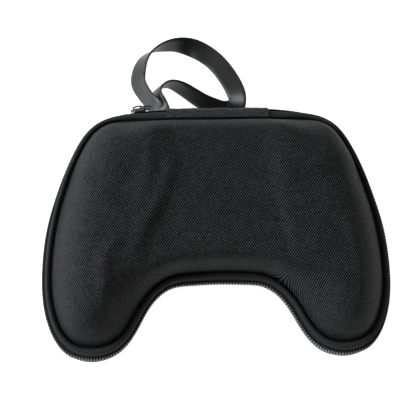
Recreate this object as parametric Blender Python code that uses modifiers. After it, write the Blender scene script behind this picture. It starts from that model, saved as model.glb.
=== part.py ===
"""Zipped hard-shell carrying case for a game controller, lying on its base shell.

Two moulded, fabric-faced foam shells are sewn to a coil zip that runs round
their rims, and a woven strip at the back edge is the hinge. A slider with a
ring pull parks beside the hinge, and a webbing wrist strap is sewn in there.

Frame: metres, +Z up, the hinge at +Y, the two grips towards -Y. The origin is
on the table under the middle of the case.
"""
import math

import bmesh
import bpy
import numpy as np
from mathutils import Matrix, Vector

# Overall sizes
CASE_WIDTH = 0.1812
CASE_DEPTH = 0.1320
BASE_HEIGHT = 0.0340
LID_HEIGHT = 0.0360

# Half outline of the zip line seen from above, from the middle of the hinge
# edge round one grip to the middle of the front, as shares of half the width
# and half the depth.
HALF_OUTLINE = (
    (0.000, 1.000), (0.287, 1.000), (0.530, 0.964), (0.706, 0.870),
    (0.817, 0.667), (0.905, 0.376), (0.971, 0.036), (1.000, -0.333),
    (0.967, -0.712), (0.861, -0.939), (0.706, -1.000), (0.574, -0.942),
    (0.472, -0.785), (0.381, -0.576), (0.270, -0.452), (0.132, -0.424),
    (0.000, -0.418),
)
# Where the shells' patch turns from the top edge to the side, and from the
# side to the front, counted in the points above.
SHOULDER_POINT = 3
GRIP_END_POINT = 9
TOP_STEPS = 8
SIDE_STEPS = 10
FRONT_STEPS = 8
PATCH_ROUNDS = 300
# How the stations crowd on bends, and how long a mitre may grow there.
OUTLINE_SAMPLES = 121
BEND_CROWDING = 0.9
MITRE_LIMIT = 2.0

# Shells
SHELL_WALL = 0.0020
SHOULDER_REACH_BASE = 0.0160
SHOULDER_POWER = 2.5
WALL_RINGS = (0.0008, 0.0034, 0.0080)
# The lid's wall leans in with a wide shoulder, tighter in the middle of the
# back and the front, and stands steep under the pads on the back corners.
SHOULDER_REACH_LID = 0.0200
SHOULDER_REACH_MIDDLE = 0.0110
SHOULDER_REACH_PAD = 0.0160
MIDDLE_HALF = 0.0300
MIDDLE_FADE = 0.0250
DRAFT_POWER = 3.2
PAD_X = 0.0430
PAD_Y = 0.0240
PAD_FADE = 0.0140
# Sunk panel between the grips, and the creases that part grips and pads.
PANEL_DROP = 0.0030
PANEL_HALF_BACK = 0.0262
PANEL_HALF_FRONT = 0.0510
PANEL_EDGE = 0.0060
PANEL_BACK_Y = 0.0480
PANEL_RUN = 0.0900
CREASE_DEPTH = 0.0020
CREASE_Y = 0.0235
CREASE_HALF = 0.0050
CREASE_X = 0.0495
CREASE_SPAN = 0.0165

# Rim: coil, tape, flange and rolled welt
SEAM_GAP = 0.0003
COIL_PITCH = 0.001575
COIL_THICKNESS = 0.0013
COIL_HALF_WIDTH = 0.0029
COIL_REACH = 0.00035
COIL_MESH_GAP = 0.00027
COIL_VALLEY = COIL_REACH + COIL_MESH_GAP
COIL_VALLEY_RISE = 0.00045
TAPE_THICKNESS = 0.0005
TAPE_MEET_GAP = 0.0004
STATION_GAP = 0.0010
BAND_HALF = 0.0066
WELT_WIDTH = 0.0024
WELT_HEIGHT = 0.0030
WELT_PLAY = 0.0005
# Section of the welt, as shares of its width and height.
WELT_SECTION = ((0.06, 0.0), (0.0, 0.45), (0.30, 1.0), (0.74, 0.92), (0.98, 0.12))
TAPE_FACE = COIL_THICKNESS + SEAM_GAP
FLANGE_FACE = TAPE_FACE + TAPE_THICKNESS + SEAM_GAP
WALL_SET_BACK = TAPE_FACE + WELT_WIDTH + WELT_PLAY
# At the grips' ends the lid's side of the zip leans in and its welt is wider.
FLARE_SET_IN = 0.0026
FLARE_WELT = 0.0014
FLARE_AT_VALLEY = 0.5

# Hinge strip and its lining
HINGE_OFFSET = 0.0010
STRIP_HALF = 0.0265
STRIP_THICKNESS = 0.0007
STRIP_BULGE = 0.0008
STRIP_BULGE_SHARE = 0.4
STRIP_CORNER = 0.0007
STRIP_LAP = 0.0022
STRIP_STATIONS = 5
TUCK = 0.0025
LINING_THICKNESS = 0.0005
LINING_STATIONS = 3

# Binding inside the rim
BINDING_WIDTH = 0.0030
BINDING_THICKNESS = 0.0005
BINDING_PLAY = 0.0005
BINDING_SET_BACK = FLANGE_FACE + LINING_THICKNESS + BINDING_PLAY
BINDING_HIGH = BAND_HALF - SHELL_WALL - SEAM_GAP

# Slider and its ring
SLIDER_FROM_STRIP = 0.0130
SLIDER_TRAVEL = 0.0060
SLIDER_LENGTH = 0.0086
SLIDER_CLEARANCE = 0.0004
SLIDER_HALF_OUTER = 0.0042
SLIDER_HALF_INNER = BINDING_HIGH - BINDING_THICKNESS - SLIDER_CLEARANCE
SLIDER_PLATE = 0.0009
SLIDER_CORNER = 0.0018
POST_LENGTH = 0.0014
POST_LOW = 0.0009
POST_HIGH = 0.0021
CROWN_LENGTH = 0.0060
CROWN_BAR = 0.0009
CROWN_BEND = 0.0008
RING_WIRE = 0.00085
RING_RADIUS = 0.0031
RING_PLAY = 0.0002
NOTCH_PLAY = 0.0003
NOTCH_STEP = 0.0002

# Wrist strap
STRAP_WIDTH = 0.0100
STRAP_THICKNESS = 0.0011
# Middle line of the strap with, at each point, the way its width points.
STRAP_ROUTE = (
    ((-0.0302, 0.0682, 0.0262), (0.80, 0.00, 0.60)),
    ((-0.0338, 0.0703, 0.0212), (0.70, 0.15, 0.70)),
    ((-0.0390, 0.0752, 0.0150), (0.70, 0.15, 0.70)),
    ((-0.0424, 0.0810, 0.0095), (0.82, 0.00, 0.57)),
    ((-0.0431, 0.0868, 0.0065), (0.74, -0.05, 0.67)),
    ((-0.0416, 0.0914, 0.0054), (0.66, -0.28, 0.69)),
    ((-0.0384, 0.0956, 0.0054), (0.42, -0.38, 0.82)),
    ((-0.0331, 0.0993, 0.0055), (0.00, 0.00, 1.00)),
    ((-0.0262, 0.1017, 0.0055), (-0.10, 0.32, 0.94)),
    ((-0.0187, 0.1017, 0.0055), (0.08, 0.70, 0.71)),
    ((-0.0102, 0.0985, 0.0062), (0.50, 0.79, 0.35)),
    ((-0.0026, 0.0924, 0.0080), (0.72, 0.66, 0.20)),
    ((0.0034, 0.0855, 0.0100), (0.86, 0.50, 0.10)),
    ((0.0078, 0.0785, 0.0110), (0.95, 0.30, 0.00)),
    ((0.0098, 0.0726, 0.0100), (0.92, 0.34, -0.18)),
    ((0.0080, 0.0684, 0.0062), (0.86, 0.50, -0.10)),
    ((0.0015, 0.0694, 0.0030), (0.62, 0.78, 0.10)),
    ((-0.0086, 0.0731, 0.0036), (0.46, 0.74, 0.50)),
    ((-0.0168, 0.0778, 0.0046), (0.44, 0.66, 0.61)),
    ((-0.0242, 0.0813, 0.0080), (0.10, 0.60, 0.80)),
    ((-0.0302, 0.0808, 0.0118), (-0.10, 0.30, 0.95)),
    ((-0.0334, 0.0774, 0.0160), (0.10, 0.00, 1.00)),
    ((-0.0332, 0.0731, 0.0205), (0.40, 0.00, 0.90)),
    ((-0.0304, 0.0702, 0.0245), (0.76, 0.00, 0.65)),
)
STRAP_STEPS = 48

PARTING_Z = BASE_HEIGHT
FRONT_Y = HALF_OUTLINE[-1][1] * CASE_DEPTH / 2
HINGE_EDGE_Y = CASE_DEPTH / 2
SLIDER_FACE = SLIDER_CLEARANCE + SLIDER_PLATE
CROWN_RISE = RING_WIRE + 2 * RING_PLAY
ZIP_STEPS = TOP_STEPS + SIDE_STEPS + FRONT_STEPS

COLOURS = {
    "shell": ((0.030, 0.031, 0.034), 0.86, 0.0),
    "welt": ((0.024, 0.024, 0.026), 0.74, 0.0),
    "tape": ((0.016, 0.016, 0.018), 0.80, 0.0),
    "coil": ((0.050, 0.050, 0.053), 0.42, 0.0),
    "strip": ((0.032, 0.033, 0.036), 0.84, 0.0),
    "metal": ((0.42, 0.43, 0.44), 0.28, 1.0),
    "webbing": ((0.040, 0.045, 0.046), 0.66, 0.0),
}


def clear_scene():
    """Remove what a new file holds."""
    for obj in list(bpy.data.objects):
        bpy.data.objects.remove(obj, do_unlink=True)


def material(name):
    """Principled material of one finish."""
    found = bpy.data.materials.get(name)
    if found:
        return found
    colour, roughness, metallic = COLOURS[name]
    made = bpy.data.materials.new(name)
    made.use_nodes = True
    shader = made.node_tree.nodes["Principled BSDF"]
    shader.inputs["Base Color"].default_value = (*colour, 1.0)
    shader.inputs["Roughness"].default_value = roughness
    shader.inputs["Metallic"].default_value = metallic
    made.diffuse_color = (*colour, 1.0)
    return made


def add_object(name, mesh, finish, sharp=40.0):
    """Put a mesh in the case's collection with its finish."""
    obj = bpy.data.objects.new(name, mesh)
    PARTS.objects.link(obj)
    mesh.materials.clear()
    mesh.materials.append(material(finish))
    mesh.shade_smooth()
    mesh.set_sharp_from_angle(angle=math.radians(sharp))
    return obj


def add_empty(name, matrix):
    """Empty on a joint's axis."""
    empty = bpy.data.objects.new(name, None)
    PARTS.objects.link(empty)
    empty.matrix_world = matrix
    return empty


def hang(obj, parent):
    """Parent an object and leave it where it is."""
    bpy.context.view_layer.update()
    obj.parent = parent
    obj.matrix_parent_inverse = parent.matrix_world.inverted()


def smooth(value):
    """Ease from 0 to 1."""
    t = min(max(value, 0.0), 1.0)
    return t * t * (3.0 - 2.0 * t)


def spline(points, closed):
    """Cubic curve through the points: a function of 0..1 by chord length."""
    pts = np.array(points, float)
    if closed:
        pts = np.vstack([pts, pts[:1]])
    t = np.concatenate([[0.0], np.cumsum(np.linalg.norm(np.diff(pts, axis=0), axis=1))])
    t /= t[-1]
    h = np.diff(t)
    n = len(h)
    slope = np.diff(pts, axis=0) / h[:, None]
    size = n if closed else n + 1
    a = np.zeros((size, size))
    b = np.zeros((size, pts.shape[1]))
    for i in range(size):
        if not closed and i in (0, n):
            k = 0 if i == 0 else n - 1
            a[i, i], a[i, 1 if i == 0 else n - 1] = 2.0, 1.0
            b[i] = 3.0 * slope[k]
            continue
        before, after = h[(i - 1) % n], h[i % n]
        a[i, (i - 1) % size] += after
        a[i, i] += 2.0 * (before + after)
        a[i, (i + 1) % size] += before
        b[i] = 3.0 * (after * slope[(i - 1) % n] + before * slope[i % n])
    d = np.linalg.solve(a, b)
    if closed:
        d = np.vstack([d, d[:1]])

    def at(u):
        k = min(max(int(np.searchsorted(t, u, side="right")) - 1, 0), n - 1)
        s = (u - t[k]) / h[k]
        return ((2 * s**3 - 3 * s**2 + 1) * pts[k] + (s**3 - 2 * s**2 + s) * h[k] * d[k]
                + (3 * s**2 - 2 * s**3) * pts[k + 1] + (s**3 - s**2) * h[k] * d[k + 1])

    return at, t


class Rim:
    """The zip line from above, as stations with a point and an outward way."""

    def __init__(self):
        half = [(x * CASE_WIDTH / 2, y * CASE_DEPTH / 2) for x, y in HALF_OUTLINE]
        left = [(-x, y) for x, y in half[-2:0:-1]]
        at, knots = spline(half + left, closed=True)
        shoulder, grip_end = knots[SHOULDER_POINT], knots[GRIP_END_POINT]
        steps = (self.spread(at, 0.0, shoulder, TOP_STEPS)
                 + self.spread(at, shoulder, grip_end, SIDE_STEPS)
                 + self.spread(at, grip_end, 0.5, FRONT_STEPS))
        right = [Vector(at(u)) for u in steps] + [Vector(at(0.5))]
        self.points = right + [Vector((-p.x, p.y)) for p in right[-2:0:-1]]
        self.points[0].x = self.points[ZIP_STEPS].x = 0.0
        n = len(self.points)
        self.normals = []
        for i in range(n):
            back = (self.points[i] - self.points[i - 1]).normalized()
            ahead = (self.points[(i + 1) % n] - self.points[i]).normalized()
            way = (back + ahead).normalized()
            grow = min(1.0 / way.dot(ahead), MITRE_LIMIT)
            self.normals.append(Vector((-way.y, way.x)) * grow)
        self.flares = [self.flare(p, m) for p, m in zip(self.points, self.normals)]

    @staticmethod
    def spread(at, start, end, count):
        """Stations between two parameters, closer together on tight bends."""
        us = np.linspace(start, end, OUTLINE_SAMPLES)
        pts = np.array([at(u) for u in us])
        way = np.diff(pts, axis=0)
        length = np.linalg.norm(way, axis=1)
        angle = np.unwrap(np.arctan2(way[:, 1], way[:, 0]))
        turn = np.abs(np.gradient(angle))
        weight = length / length.sum() + BEND_CROWDING * turn / math.pi
        total = np.concatenate([[0.0], np.cumsum(weight)])
        wanted = np.linspace(0.0, total[-1], count + 1)[:-1]
        return list(np.interp(wanted, total, us))

    @staticmethod
    def flare(point, normal):
        """How far the lid's side of the zip leans in: 1 at the grips' ends."""
        facing = max(-normal.normalized().y, 0.0)
        share = smooth((FRONT_Y - point.y) / (FRONT_Y + CASE_DEPTH / 2))
        return facing * (FLARE_AT_VALLEY + (1.0 - FLARE_AT_VALLEY) * share)

    def outline(self, inwards):
        """The stations moved inwards by the distance given for each flare."""
        return [p - m * inwards(f)
                for p, m, f in zip(self.points, self.normals, self.flares)]

    def lengths(self):
        """Distance along the stations from the middle of the hinge edge."""
        total = [0.0]
        for i in range(len(self.points)):
            ahead = self.points[(i + 1) % len(self.points)]
            total.append(total[-1] + (ahead - self.points[i]).length)
        return total

    def at(self, s):
        """Point, outward way and flare at a distance along the stations."""
        total = self.lengths_list
        k = min(max(int(np.searchsorted(total, s, side="right")) - 1, 0), len(total) - 2)
        t = (s - total[k]) / (total[k + 1] - total[k])
        j = (k + 1) % len(self.points)
        point = self.points[k].lerp(self.points[j], t)
        normal = self.normals[k].lerp(self.normals[j], t)
        return point, normal, self.flares[k] * (1 - t) + self.flares[j] * t

    def freeze(self):
        """Keep the distances once."""
        self.lengths_list = self.lengths()
        return self


def loft(name, sections, finish, closed, sharp=40.0):
    """Closed skin through equal sections, joined end to end or capped."""
    bm = bmesh.new()
    rows = [[bm.verts.new(co) for co in section] for section in sections]
    count = len(rows[0])
    last = len(rows) if closed else len(rows) - 1
    for i in range(last):
        here, ahead = rows[i], rows[(i + 1) % len(rows)]
        for j in range(count):
            k = (j + 1) % count
            bm.faces.new((here[j], here[k], ahead[k], ahead[j]))
    if not closed:
        bm.faces.new(rows[0][::-1])
        bm.faces.new(rows[-1])
    bmesh.ops.recalc_face_normals(bm, faces=bm.faces)
    mesh = bpy.data.meshes.new(name)
    bm.to_mesh(mesh)
    bm.free()
    return add_object(name, mesh, finish, sharp)


class Side:
    """One half of the case: the lid above the parting plane, the base below."""

    def __init__(self, name, sign, height, shoulder, relief, flared):
        self.name, self.sign, self.height = name, sign, height
        self.shoulder, self.relief, self.flared = shoulder, relief, flared

    def lift(self, height):
        """World height of a height measured away from the parting plane."""
        return PARTING_Z + self.sign * height

    def lean(self, flare, height):
        """How far the zip band leans in at a height, on a flared lid."""
        share = min(height / BAND_HALF, 1.0) if self.flared else 0.0
        return FLARE_SET_IN * flare * share

    def welt_width(self, flare):
        """Width of the rolled edge."""
        return WELT_WIDTH + (FLARE_WELT * flare if self.flared else 0.0)

    def wall_in(self, flare):
        """How far the shell's wall stands in from the zip line."""
        widen = FLARE_SET_IN + FLARE_WELT if self.flared else 0.0
        return WALL_SET_BACK + widen * flare

    def place(self, point, normal, inwards, height):
        """World point at a distance in from the zip line and a height."""
        spot = point - normal * inwards
        return Vector((spot.x, spot.y, self.lift(height)))


def lid_relief(x, y):
    """Fall of the lid's top below its full height at a place."""
    run = smooth((PANEL_BACK_Y - y) / PANEL_RUN)
    edge = PANEL_HALF_BACK + (PANEL_HALF_FRONT - PANEL_HALF_BACK) * run
    panel = 1.0 - smooth((abs(x) - edge + PANEL_EDGE) / (2 * PANEL_EDGE))
    across = math.exp(-((y - CREASE_Y) / CREASE_HALF) ** 2)
    along = math.exp(-((abs(x) - CREASE_X) / CREASE_SPAN) ** 4)
    return PANEL_DROP * panel + CREASE_DEPTH * across * along


def lid_shoulder(x, y):
    """Reach, power and root of the lid's shoulder at a place."""
    middle = 1.0 - smooth((abs(x) - MIDDLE_HALF) / MIDDLE_FADE)
    pad = smooth((abs(x) - PAD_X) / PAD_FADE) * smooth((y - PAD_Y) / PAD_FADE)
    reach = SHOULDER_REACH_LID + (SHOULDER_REACH_MIDDLE - SHOULDER_REACH_LID) * middle
    return (reach + (SHOULDER_REACH_PAD - reach) * pad,
            DRAFT_POWER + (SHOULDER_POWER - DRAFT_POWER) * pad,
            1.0 + (1.0 / SHOULDER_POWER - 1.0) * pad)


def base_relief(x, y):
    """The base is flat underneath."""
    return 0.0


def base_shoulder(x, y):
    """Reach, power and root of the base's shoulder, the same all round."""
    return SHOULDER_REACH_BASE, SHOULDER_POWER, 1.0 / SHOULDER_POWER


def distance_in(spot, wall):
    """Shortest distance from a place to the wall's outline."""
    a = np.array([tuple(p) for p in wall])
    b = np.roll(a, -1, axis=0)
    d = b - a
    t = np.clip(((np.array(tuple(spot)) - a) * d).sum(1) / (d * d).sum(1), 0.0, 1.0)
    return float(np.linalg.norm(a + t[:, None] * d - np.array(tuple(spot)), axis=1).min())


def shell_height(side, spot, depth):
    """Height of the shell's skin: a rounded shoulder up to the relief."""
    reach, power, root = side.shoulder(spot.x, spot.y)
    rise = (1.0 - (1.0 - min(depth / reach, 1.0)) ** power) ** root
    top = side.height - side.relief(spot.x, spot.y)
    return BAND_HALF + (top - BAND_HALF) * rise


def patch_places(loop, wide, deep):
    """Rows of places that fill a loop, evenly spread and without a fold."""
    half = wide // 2
    ring = np.array([tuple(loop[(i - half) % len(loop)]) for i in range(len(loop))])
    places = np.zeros((deep + 1, wide + 1, 2))
    places[0] = ring[:wide + 1]
    places[:, -1] = ring[wide:wide + deep + 1]
    places[-1] = ring[wide + deep:2 * wide + deep + 1][::-1]
    places[:, 0] = np.vstack([ring[2 * wide + deep:], ring[:1]])[::-1]
    for row in range(1, deep):
        share = row / deep
        for k in range(1, wide):
            places[row, k] = places[0, k] * (1 - share) + places[-1, k] * share
    mid = places[1:-1, 1:-1]
    for _ in range(PATCH_ROUNDS):
        across = (places[1:-1, 2:] - places[1:-1, :-2]) / 2
        down = (places[2:, 1:-1] - places[:-2, 1:-1]) / 2
        a = (down ** 2).sum(-1, keepdims=True)
        b = (across * down).sum(-1, keepdims=True)
        c = (across ** 2).sum(-1, keepdims=True)
        twist = (places[2:, 2:] - places[2:, :-2] - places[:-2, 2:] + places[:-2, :-2]) / 4
        mid[:] = (a * (places[1:-1, 2:] + places[1:-1, :-2])
                  + c * (places[2:, 1:-1] + places[:-2, 1:-1]) - 2 * b * twist) / (2 * (a + c))
    return places


def make_shell(side, rim):
    """Moulded shell: a patch, its rounded wall and the sewn flange."""
    wall = rim.outline(side.wall_in)
    inward = [m.normalized() for m in rim.normals]
    wide, deep = 2 * TOP_STEPS, SIDE_STEPS
    rings = [[w - m * depth for w, m in zip(wall, inward)] for depth in WALL_RINGS]
    bm = bmesh.new()
    bmesh.ops.create_grid(bm, x_segments=wide, y_segments=deep, size=0.5)
    bm.verts.ensure_lookup_table()
    places = patch_places(rings[-1], wide, deep)
    for vert in bm.verts:
        column, row = round((vert.co.x + 0.5) * wide), round((0.5 - vert.co.y) * deep)
        spot = Vector(places[row, column])
        depth = distance_in(spot, wall)
        vert.co = (spot.x, spot.y, side.lift(shell_height(side, spot, depth)))
    flange = rim.outline(lambda f: side.lean(f, BAND_HALF) + FLANGE_FACE)
    loops = [[(p, shell_height(side, p, depth)) for p in ring]
             for depth, ring in zip(WALL_RINGS[-2::-1], rings[-2::-1])]
    loops += [[(p, BAND_HALF) for p in wall], [(p, BAND_HALF) for p in flange]]
    start = rings[-1]
    for loop in loops:
        made = bmesh.ops.extrude_edge_only(bm, edges=[e for e in bm.edges if e.is_boundary])
        for vert in made["geom"]:
            if isinstance(vert, bmesh.types.BMVert):
                nearest = min(range(len(start)), key=lambda i: (start[i] - vert.co.xy).length)
                spot, height = loop[nearest]
                vert.co = (spot.x, spot.y, side.lift(height))
        start = [p for p, _ in loop]
    bmesh.ops.recalc_face_normals(bm, faces=bm.faces)
    bm.faces.ensure_lookup_table()
    middle = min(bm.faces, key=lambda f: f.calc_center_median().xy.length)
    if middle.normal.z * side.sign < 0:
        bmesh.ops.reverse_faces(bm, faces=bm.faces)
    mesh = bpy.data.meshes.new(f"{side.name}_shell")
    bm.to_mesh(mesh)
    bm.free()
    obj = add_object(f"{side.name}_shell", mesh, "shell", sharp=60.0)
    solid = obj.modifiers.new("wall", "SOLIDIFY")
    solid.thickness = SHELL_WALL
    solid.offset = -1.0
    solid.use_even_offset = True
    return obj


def make_welt(side, rim):
    """Rolled edge sewn on the flange: a flattened bead."""
    low = BAND_HALF + SEAM_GAP
    sections = []
    for p, m, f in zip(rim.points, rim.normals, rim.flares):
        outer = side.lean(f, BAND_HALF) + TAPE_FACE
        width = side.welt_width(f)
        sections.append([side.place(p, m, outer + width * a, low + WELT_HEIGHT * b)
                         for a, b in WELT_SECTION])
    return loft(f"{side.name}_welt", sections, "welt", True, sharp=80.0)


def band_stations(rim, start, end, extra=()):
    """Distances of the stations between two ends, with extra ones added."""
    inner = [s for s in rim.lengths_list[1:-1] if start + STATION_GAP < s < end - STATION_GAP]
    return sorted([start, end, *inner, *extra])


def make_tape(side, rim, notch=None):
    """Woven zip tape between the flange and the coil, notched at the slider."""
    total = rim.lengths_list[-1]
    start, end = STRIP_HALF - TUCK, total - STRIP_HALF + TUCK
    back = TAPE_FACE + TAPE_THICKNESS
    free, raised = TAPE_MEET_GAP / 2, SLIDER_HALF_OUTER + NOTCH_PLAY
    corners = (notch[0] - NOTCH_STEP, *notch, notch[1] + NOTCH_STEP) if notch else ()
    sections = []
    for s in band_stations(rim, start, end, corners):
        p, m, f = rim.at(s)
        low = raised if notch and notch[0] <= s <= notch[1] else free
        sections.append([side.place(p, m, side.lean(f, h) + d, h)
                         for d, h in ((TAPE_FACE, low), (back, low),
                                      (back, BAND_HALF), (TAPE_FACE, BAND_HALF))])
    return loft(f"{side.name}_zip_tape", sections, "tape", False)


def make_coil(side, rim, start, end, phase):
    """Row of coil teeth: wedges that rise to the line where the rows mesh."""
    teeth = int((end - start) / COIL_PITCH)
    bm = bmesh.new()

    def corner(s, inwards, height):
        p, m, f = rim.at(s)
        lean = side.lean(f, max(height, 0.0))
        return bm.verts.new(side.place(p, m, inwards + lean, height))

    roots, fronts, backs, tips = [], [], [], []
    for i in range(teeth + 1):
        s = start + (i + phase) * COIL_PITCH
        roots.append(corner(s, COIL_THICKNESS, COIL_HALF_WIDTH))
        fronts.append(corner(s, COIL_THICKNESS - COIL_VALLEY_RISE, COIL_VALLEY))
        backs.append(corner(s, COIL_THICKNESS, COIL_VALLEY))
        if i < teeth:
            tips.append(corner(s + COIL_PITCH / 2, 0.0, -COIL_REACH))
    for i, tip in enumerate(tips):
        k = i + 1
        for corners in ((roots[i], fronts[i], tip), (roots[i], tip, roots[k]),
                        (roots[k], tip, fronts[k]), (fronts[i], backs[i], tip),
                        (tip, backs[i], backs[k]), (tip, backs[k], fronts[k]),
                        (roots[k], backs[k], backs[i]), (roots[k], backs[i], roots[i])):
            bm.faces.new(corners)
    bm.faces.new((roots[0], backs[0], fronts[0]))
    bm.faces.new((roots[-1], fronts[-1], backs[-1]))
    bmesh.ops.recalc_face_normals(bm, faces=bm.faces)
    mesh = bpy.data.meshes.new(f"{side.name}_zip_coil")
    bm.to_mesh(mesh)
    bm.free()
    return add_object(f"{side.name}_zip_coil", mesh, "coil", sharp=20.0)


def make_binding(side, rim):
    """Flat binding that covers the raw edge of the shell inside the rim."""
    sections = []
    for p, m, f in zip(rim.points, rim.normals, rim.flares):
        near = side.lean(f, BAND_HALF) + BINDING_SET_BACK
        sections.append([side.place(p, m, near + a, BINDING_HIGH - b)
                         for a, b in ((0.0, 0.0), (BINDING_WIDTH, 0.0),
                                      (BINDING_WIDTH, BINDING_THICKNESS),
                                      (0.0, BINDING_THICKNESS))])
    return loft(f"{side.name}_inner_binding", sections, "tape", True)


def make_hinge_strip():
    """Woven strip over both rolled edges along the back: the fabric hinge."""
    crest = BAND_HALF + SEAM_GAP + WELT_HEIGHT + SEAM_GAP
    face, lap = COIL_THICKNESS, COIL_THICKNESS + STRIP_LAP
    belly = crest * STRIP_BULGE_SHARE
    t, corner = STRIP_THICKNESS, STRIP_CORNER
    inner = ((lap, crest), (face + corner, crest), (face, crest - corner),
             (face - STRIP_BULGE, belly))
    outer = ((lap, crest + t), (face + corner / 2, crest + t), (face - t, crest - corner / 2),
             (face - STRIP_BULGE - t, belly))
    ring = (list(inner) + [(a, -h) for a, h in inner[::-1]]
            + [(a, -h) for a, h in outer] + list(outer[::-1]))
    sections = [[Vector((x, HINGE_EDGE_Y - a, PARTING_Z + h)) for a, h in ring]
                for x in np.linspace(-STRIP_HALF, STRIP_HALF, STRIP_STATIONS)]
    return loft("hinge_strip", sections, "strip", False, sharp=50.0)


def make_hinge_lining():
    """Lining of the hinge inside, from one flange to the other."""
    y = HINGE_EDGE_Y - FLANGE_FACE
    sections = [[Vector((x, y - a, PARTING_Z + h)) for a, h in
                 ((0.0, -BINDING_HIGH), (0.0, BINDING_HIGH), (LINING_THICKNESS, BINDING_HIGH),
                  (LINING_THICKNESS, -BINDING_HIGH))]
                for x in np.linspace(-STRIP_HALF, STRIP_HALF, LINING_STATIONS)]
    return loft("hinge_lining", sections, "tape", False)


def box(name, size, centre):
    """Box primitive as a mesh object at the origin, outside the case's collection."""
    bpy.ops.mesh.primitive_cube_add(size=1.0)
    obj = bpy.context.object
    obj.name = name
    obj.data.transform(Matrix.Translation(centre) @ Matrix.Diagonal((*size, 1.0)))
    return obj


def apply_modifiers(obj):
    """Keep an object's evaluated mesh."""
    graph = bpy.context.evaluated_depsgraph_get()
    mesh = bpy.data.meshes.new_from_object(obj.evaluated_get(graph))
    obj.modifiers.clear()
    obj.data = mesh
    return obj


def unite(target, others):
    """Boolean union of touching solids into the target."""
    for other in others:
        join = target.modifiers.new("join", "BOOLEAN")
        join.operation = "UNION"
        join.solver = "EXACT"
        join.object = other
        apply_modifiers(target)
        bpy.data.objects.remove(other, do_unlink=True)
    return target


def slider_frame(rim):
    """Empties of the slider, and its distance along the zip.

    One stands at the centre of the rim's bend there, which the slider runs
    about, and carries one on the zip line, its X along the zip, its Y outward.
    """
    s = rim.lengths_list[-1] - STRIP_HALF - SLIDER_FROM_STRIP
    point, normal, _ = rim.at(s)
    way = normal.normalized()
    far, _, _ = rim.at(s - SLIDER_TRAVEL - SLIDER_LENGTH / 2)
    chord = far - point
    bend = chord.length_squared / (-2.0 * chord.dot(way))
    centre = point - way * bend
    run = add_empty("slider_run", Matrix.Translation((centre.x, centre.y, PARTING_Z)))
    turn = Matrix(((way.y, way.x, 0.0), (-way.x, way.y, 0.0), (0.0, 0.0, 1.0)))
    seat = add_empty("slider_seat", turn.to_4x4())
    seat.parent = run
    seat.location = (way.x * bend, way.y * bend, 0.0)
    return seat, s


def make_slider(empty):
    """Slider body: two plates joined by a post, with an arched crown."""
    outer = box("outer_plate", (SLIDER_LENGTH, SLIDER_PLATE, 2 * SLIDER_HALF_OUTER),
                (0.0, SLIDER_CLEARANCE + SLIDER_PLATE / 2, 0.0))
    inner = box("inner_plate", (SLIDER_LENGTH, SLIDER_PLATE, 2 * SLIDER_HALF_INNER),
                (0.0, -FLANGE_FACE - SLIDER_PLATE / 2, 0.0))
    round_plate_ends(outer)
    round_plate_ends(inner)
    post_out, post_in = SLIDER_CLEARANCE + SLIDER_PLATE / 2, -FLANGE_FACE - SLIDER_PLATE / 2
    post = box("post", (POST_LENGTH, post_out - post_in, POST_HIGH - POST_LOW),
               (SLIDER_LENGTH / 2 - POST_LENGTH, (post_out + post_in) / 2,
                (POST_LOW + POST_HIGH) / 2))
    body = unite(outer, [inner, post, make_crown()])
    mesh = body.data
    bpy.data.objects.remove(body, do_unlink=True)
    slider = add_object("slider_body", mesh, "metal", sharp=35.0)
    slider.parent = empty
    return slider


def round_plate_ends(plate):
    """Round the plate's four corners, seen face on."""
    bm = bmesh.new()
    bm.from_mesh(plate.data)
    edges = [e for e in bm.edges
             if abs((e.verts[0].co - e.verts[1].co).normalized().y) > 0.9]
    bmesh.ops.bevel(bm, geom=edges, offset=SLIDER_CORNER, segments=3, affect="EDGES",
                    profile=0.5)
    bm.to_mesh(plate.data)
    bm.free()


def make_crown():
    """Arched bar over the outer plate that the ring hangs in."""
    half = CROWN_LENGTH / 2
    low = SLIDER_FACE - SLIDER_PLATE / 2
    high = SLIDER_FACE + CROWN_RISE + CROWN_BAR / 2
    points = [(-half, low), (-half, high - CROWN_BEND), (-half + CROWN_BEND, high),
              (half - CROWN_BEND, high), (half, high - CROWN_BEND), (half, low)]
    curve = bpy.data.curves.new("crown", "CURVE")
    curve.dimensions = "3D"
    line = curve.splines.new("POLY")
    line.points.add(len(points) - 1)
    for spot, (x, y) in zip(line.points, points):
        spot.co = (x, y, 0.0, 1.0)
    curve.bevel_depth = CROWN_BAR / 2
    curve.bevel_resolution = 1
    curve.use_fill_caps = True
    wire = bpy.data.objects.new("crown_wire", curve)
    bpy.context.scene.collection.objects.link(wire)
    graph = bpy.context.evaluated_depsgraph_get()
    mesh = bpy.data.meshes.new_from_object(wire.evaluated_get(graph))
    bpy.data.objects.remove(wire, do_unlink=True)
    bm = bmesh.new()
    bm.from_mesh(mesh)
    bmesh.ops.remove_doubles(bm, verts=bm.verts, dist=1e-6)
    bmesh.ops.recalc_face_normals(bm, faces=bm.faces)
    bm.to_mesh(mesh)
    bm.free()
    arch = bpy.data.objects.new("crown", mesh)
    bpy.context.scene.collection.objects.link(arch)
    return arch


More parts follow.
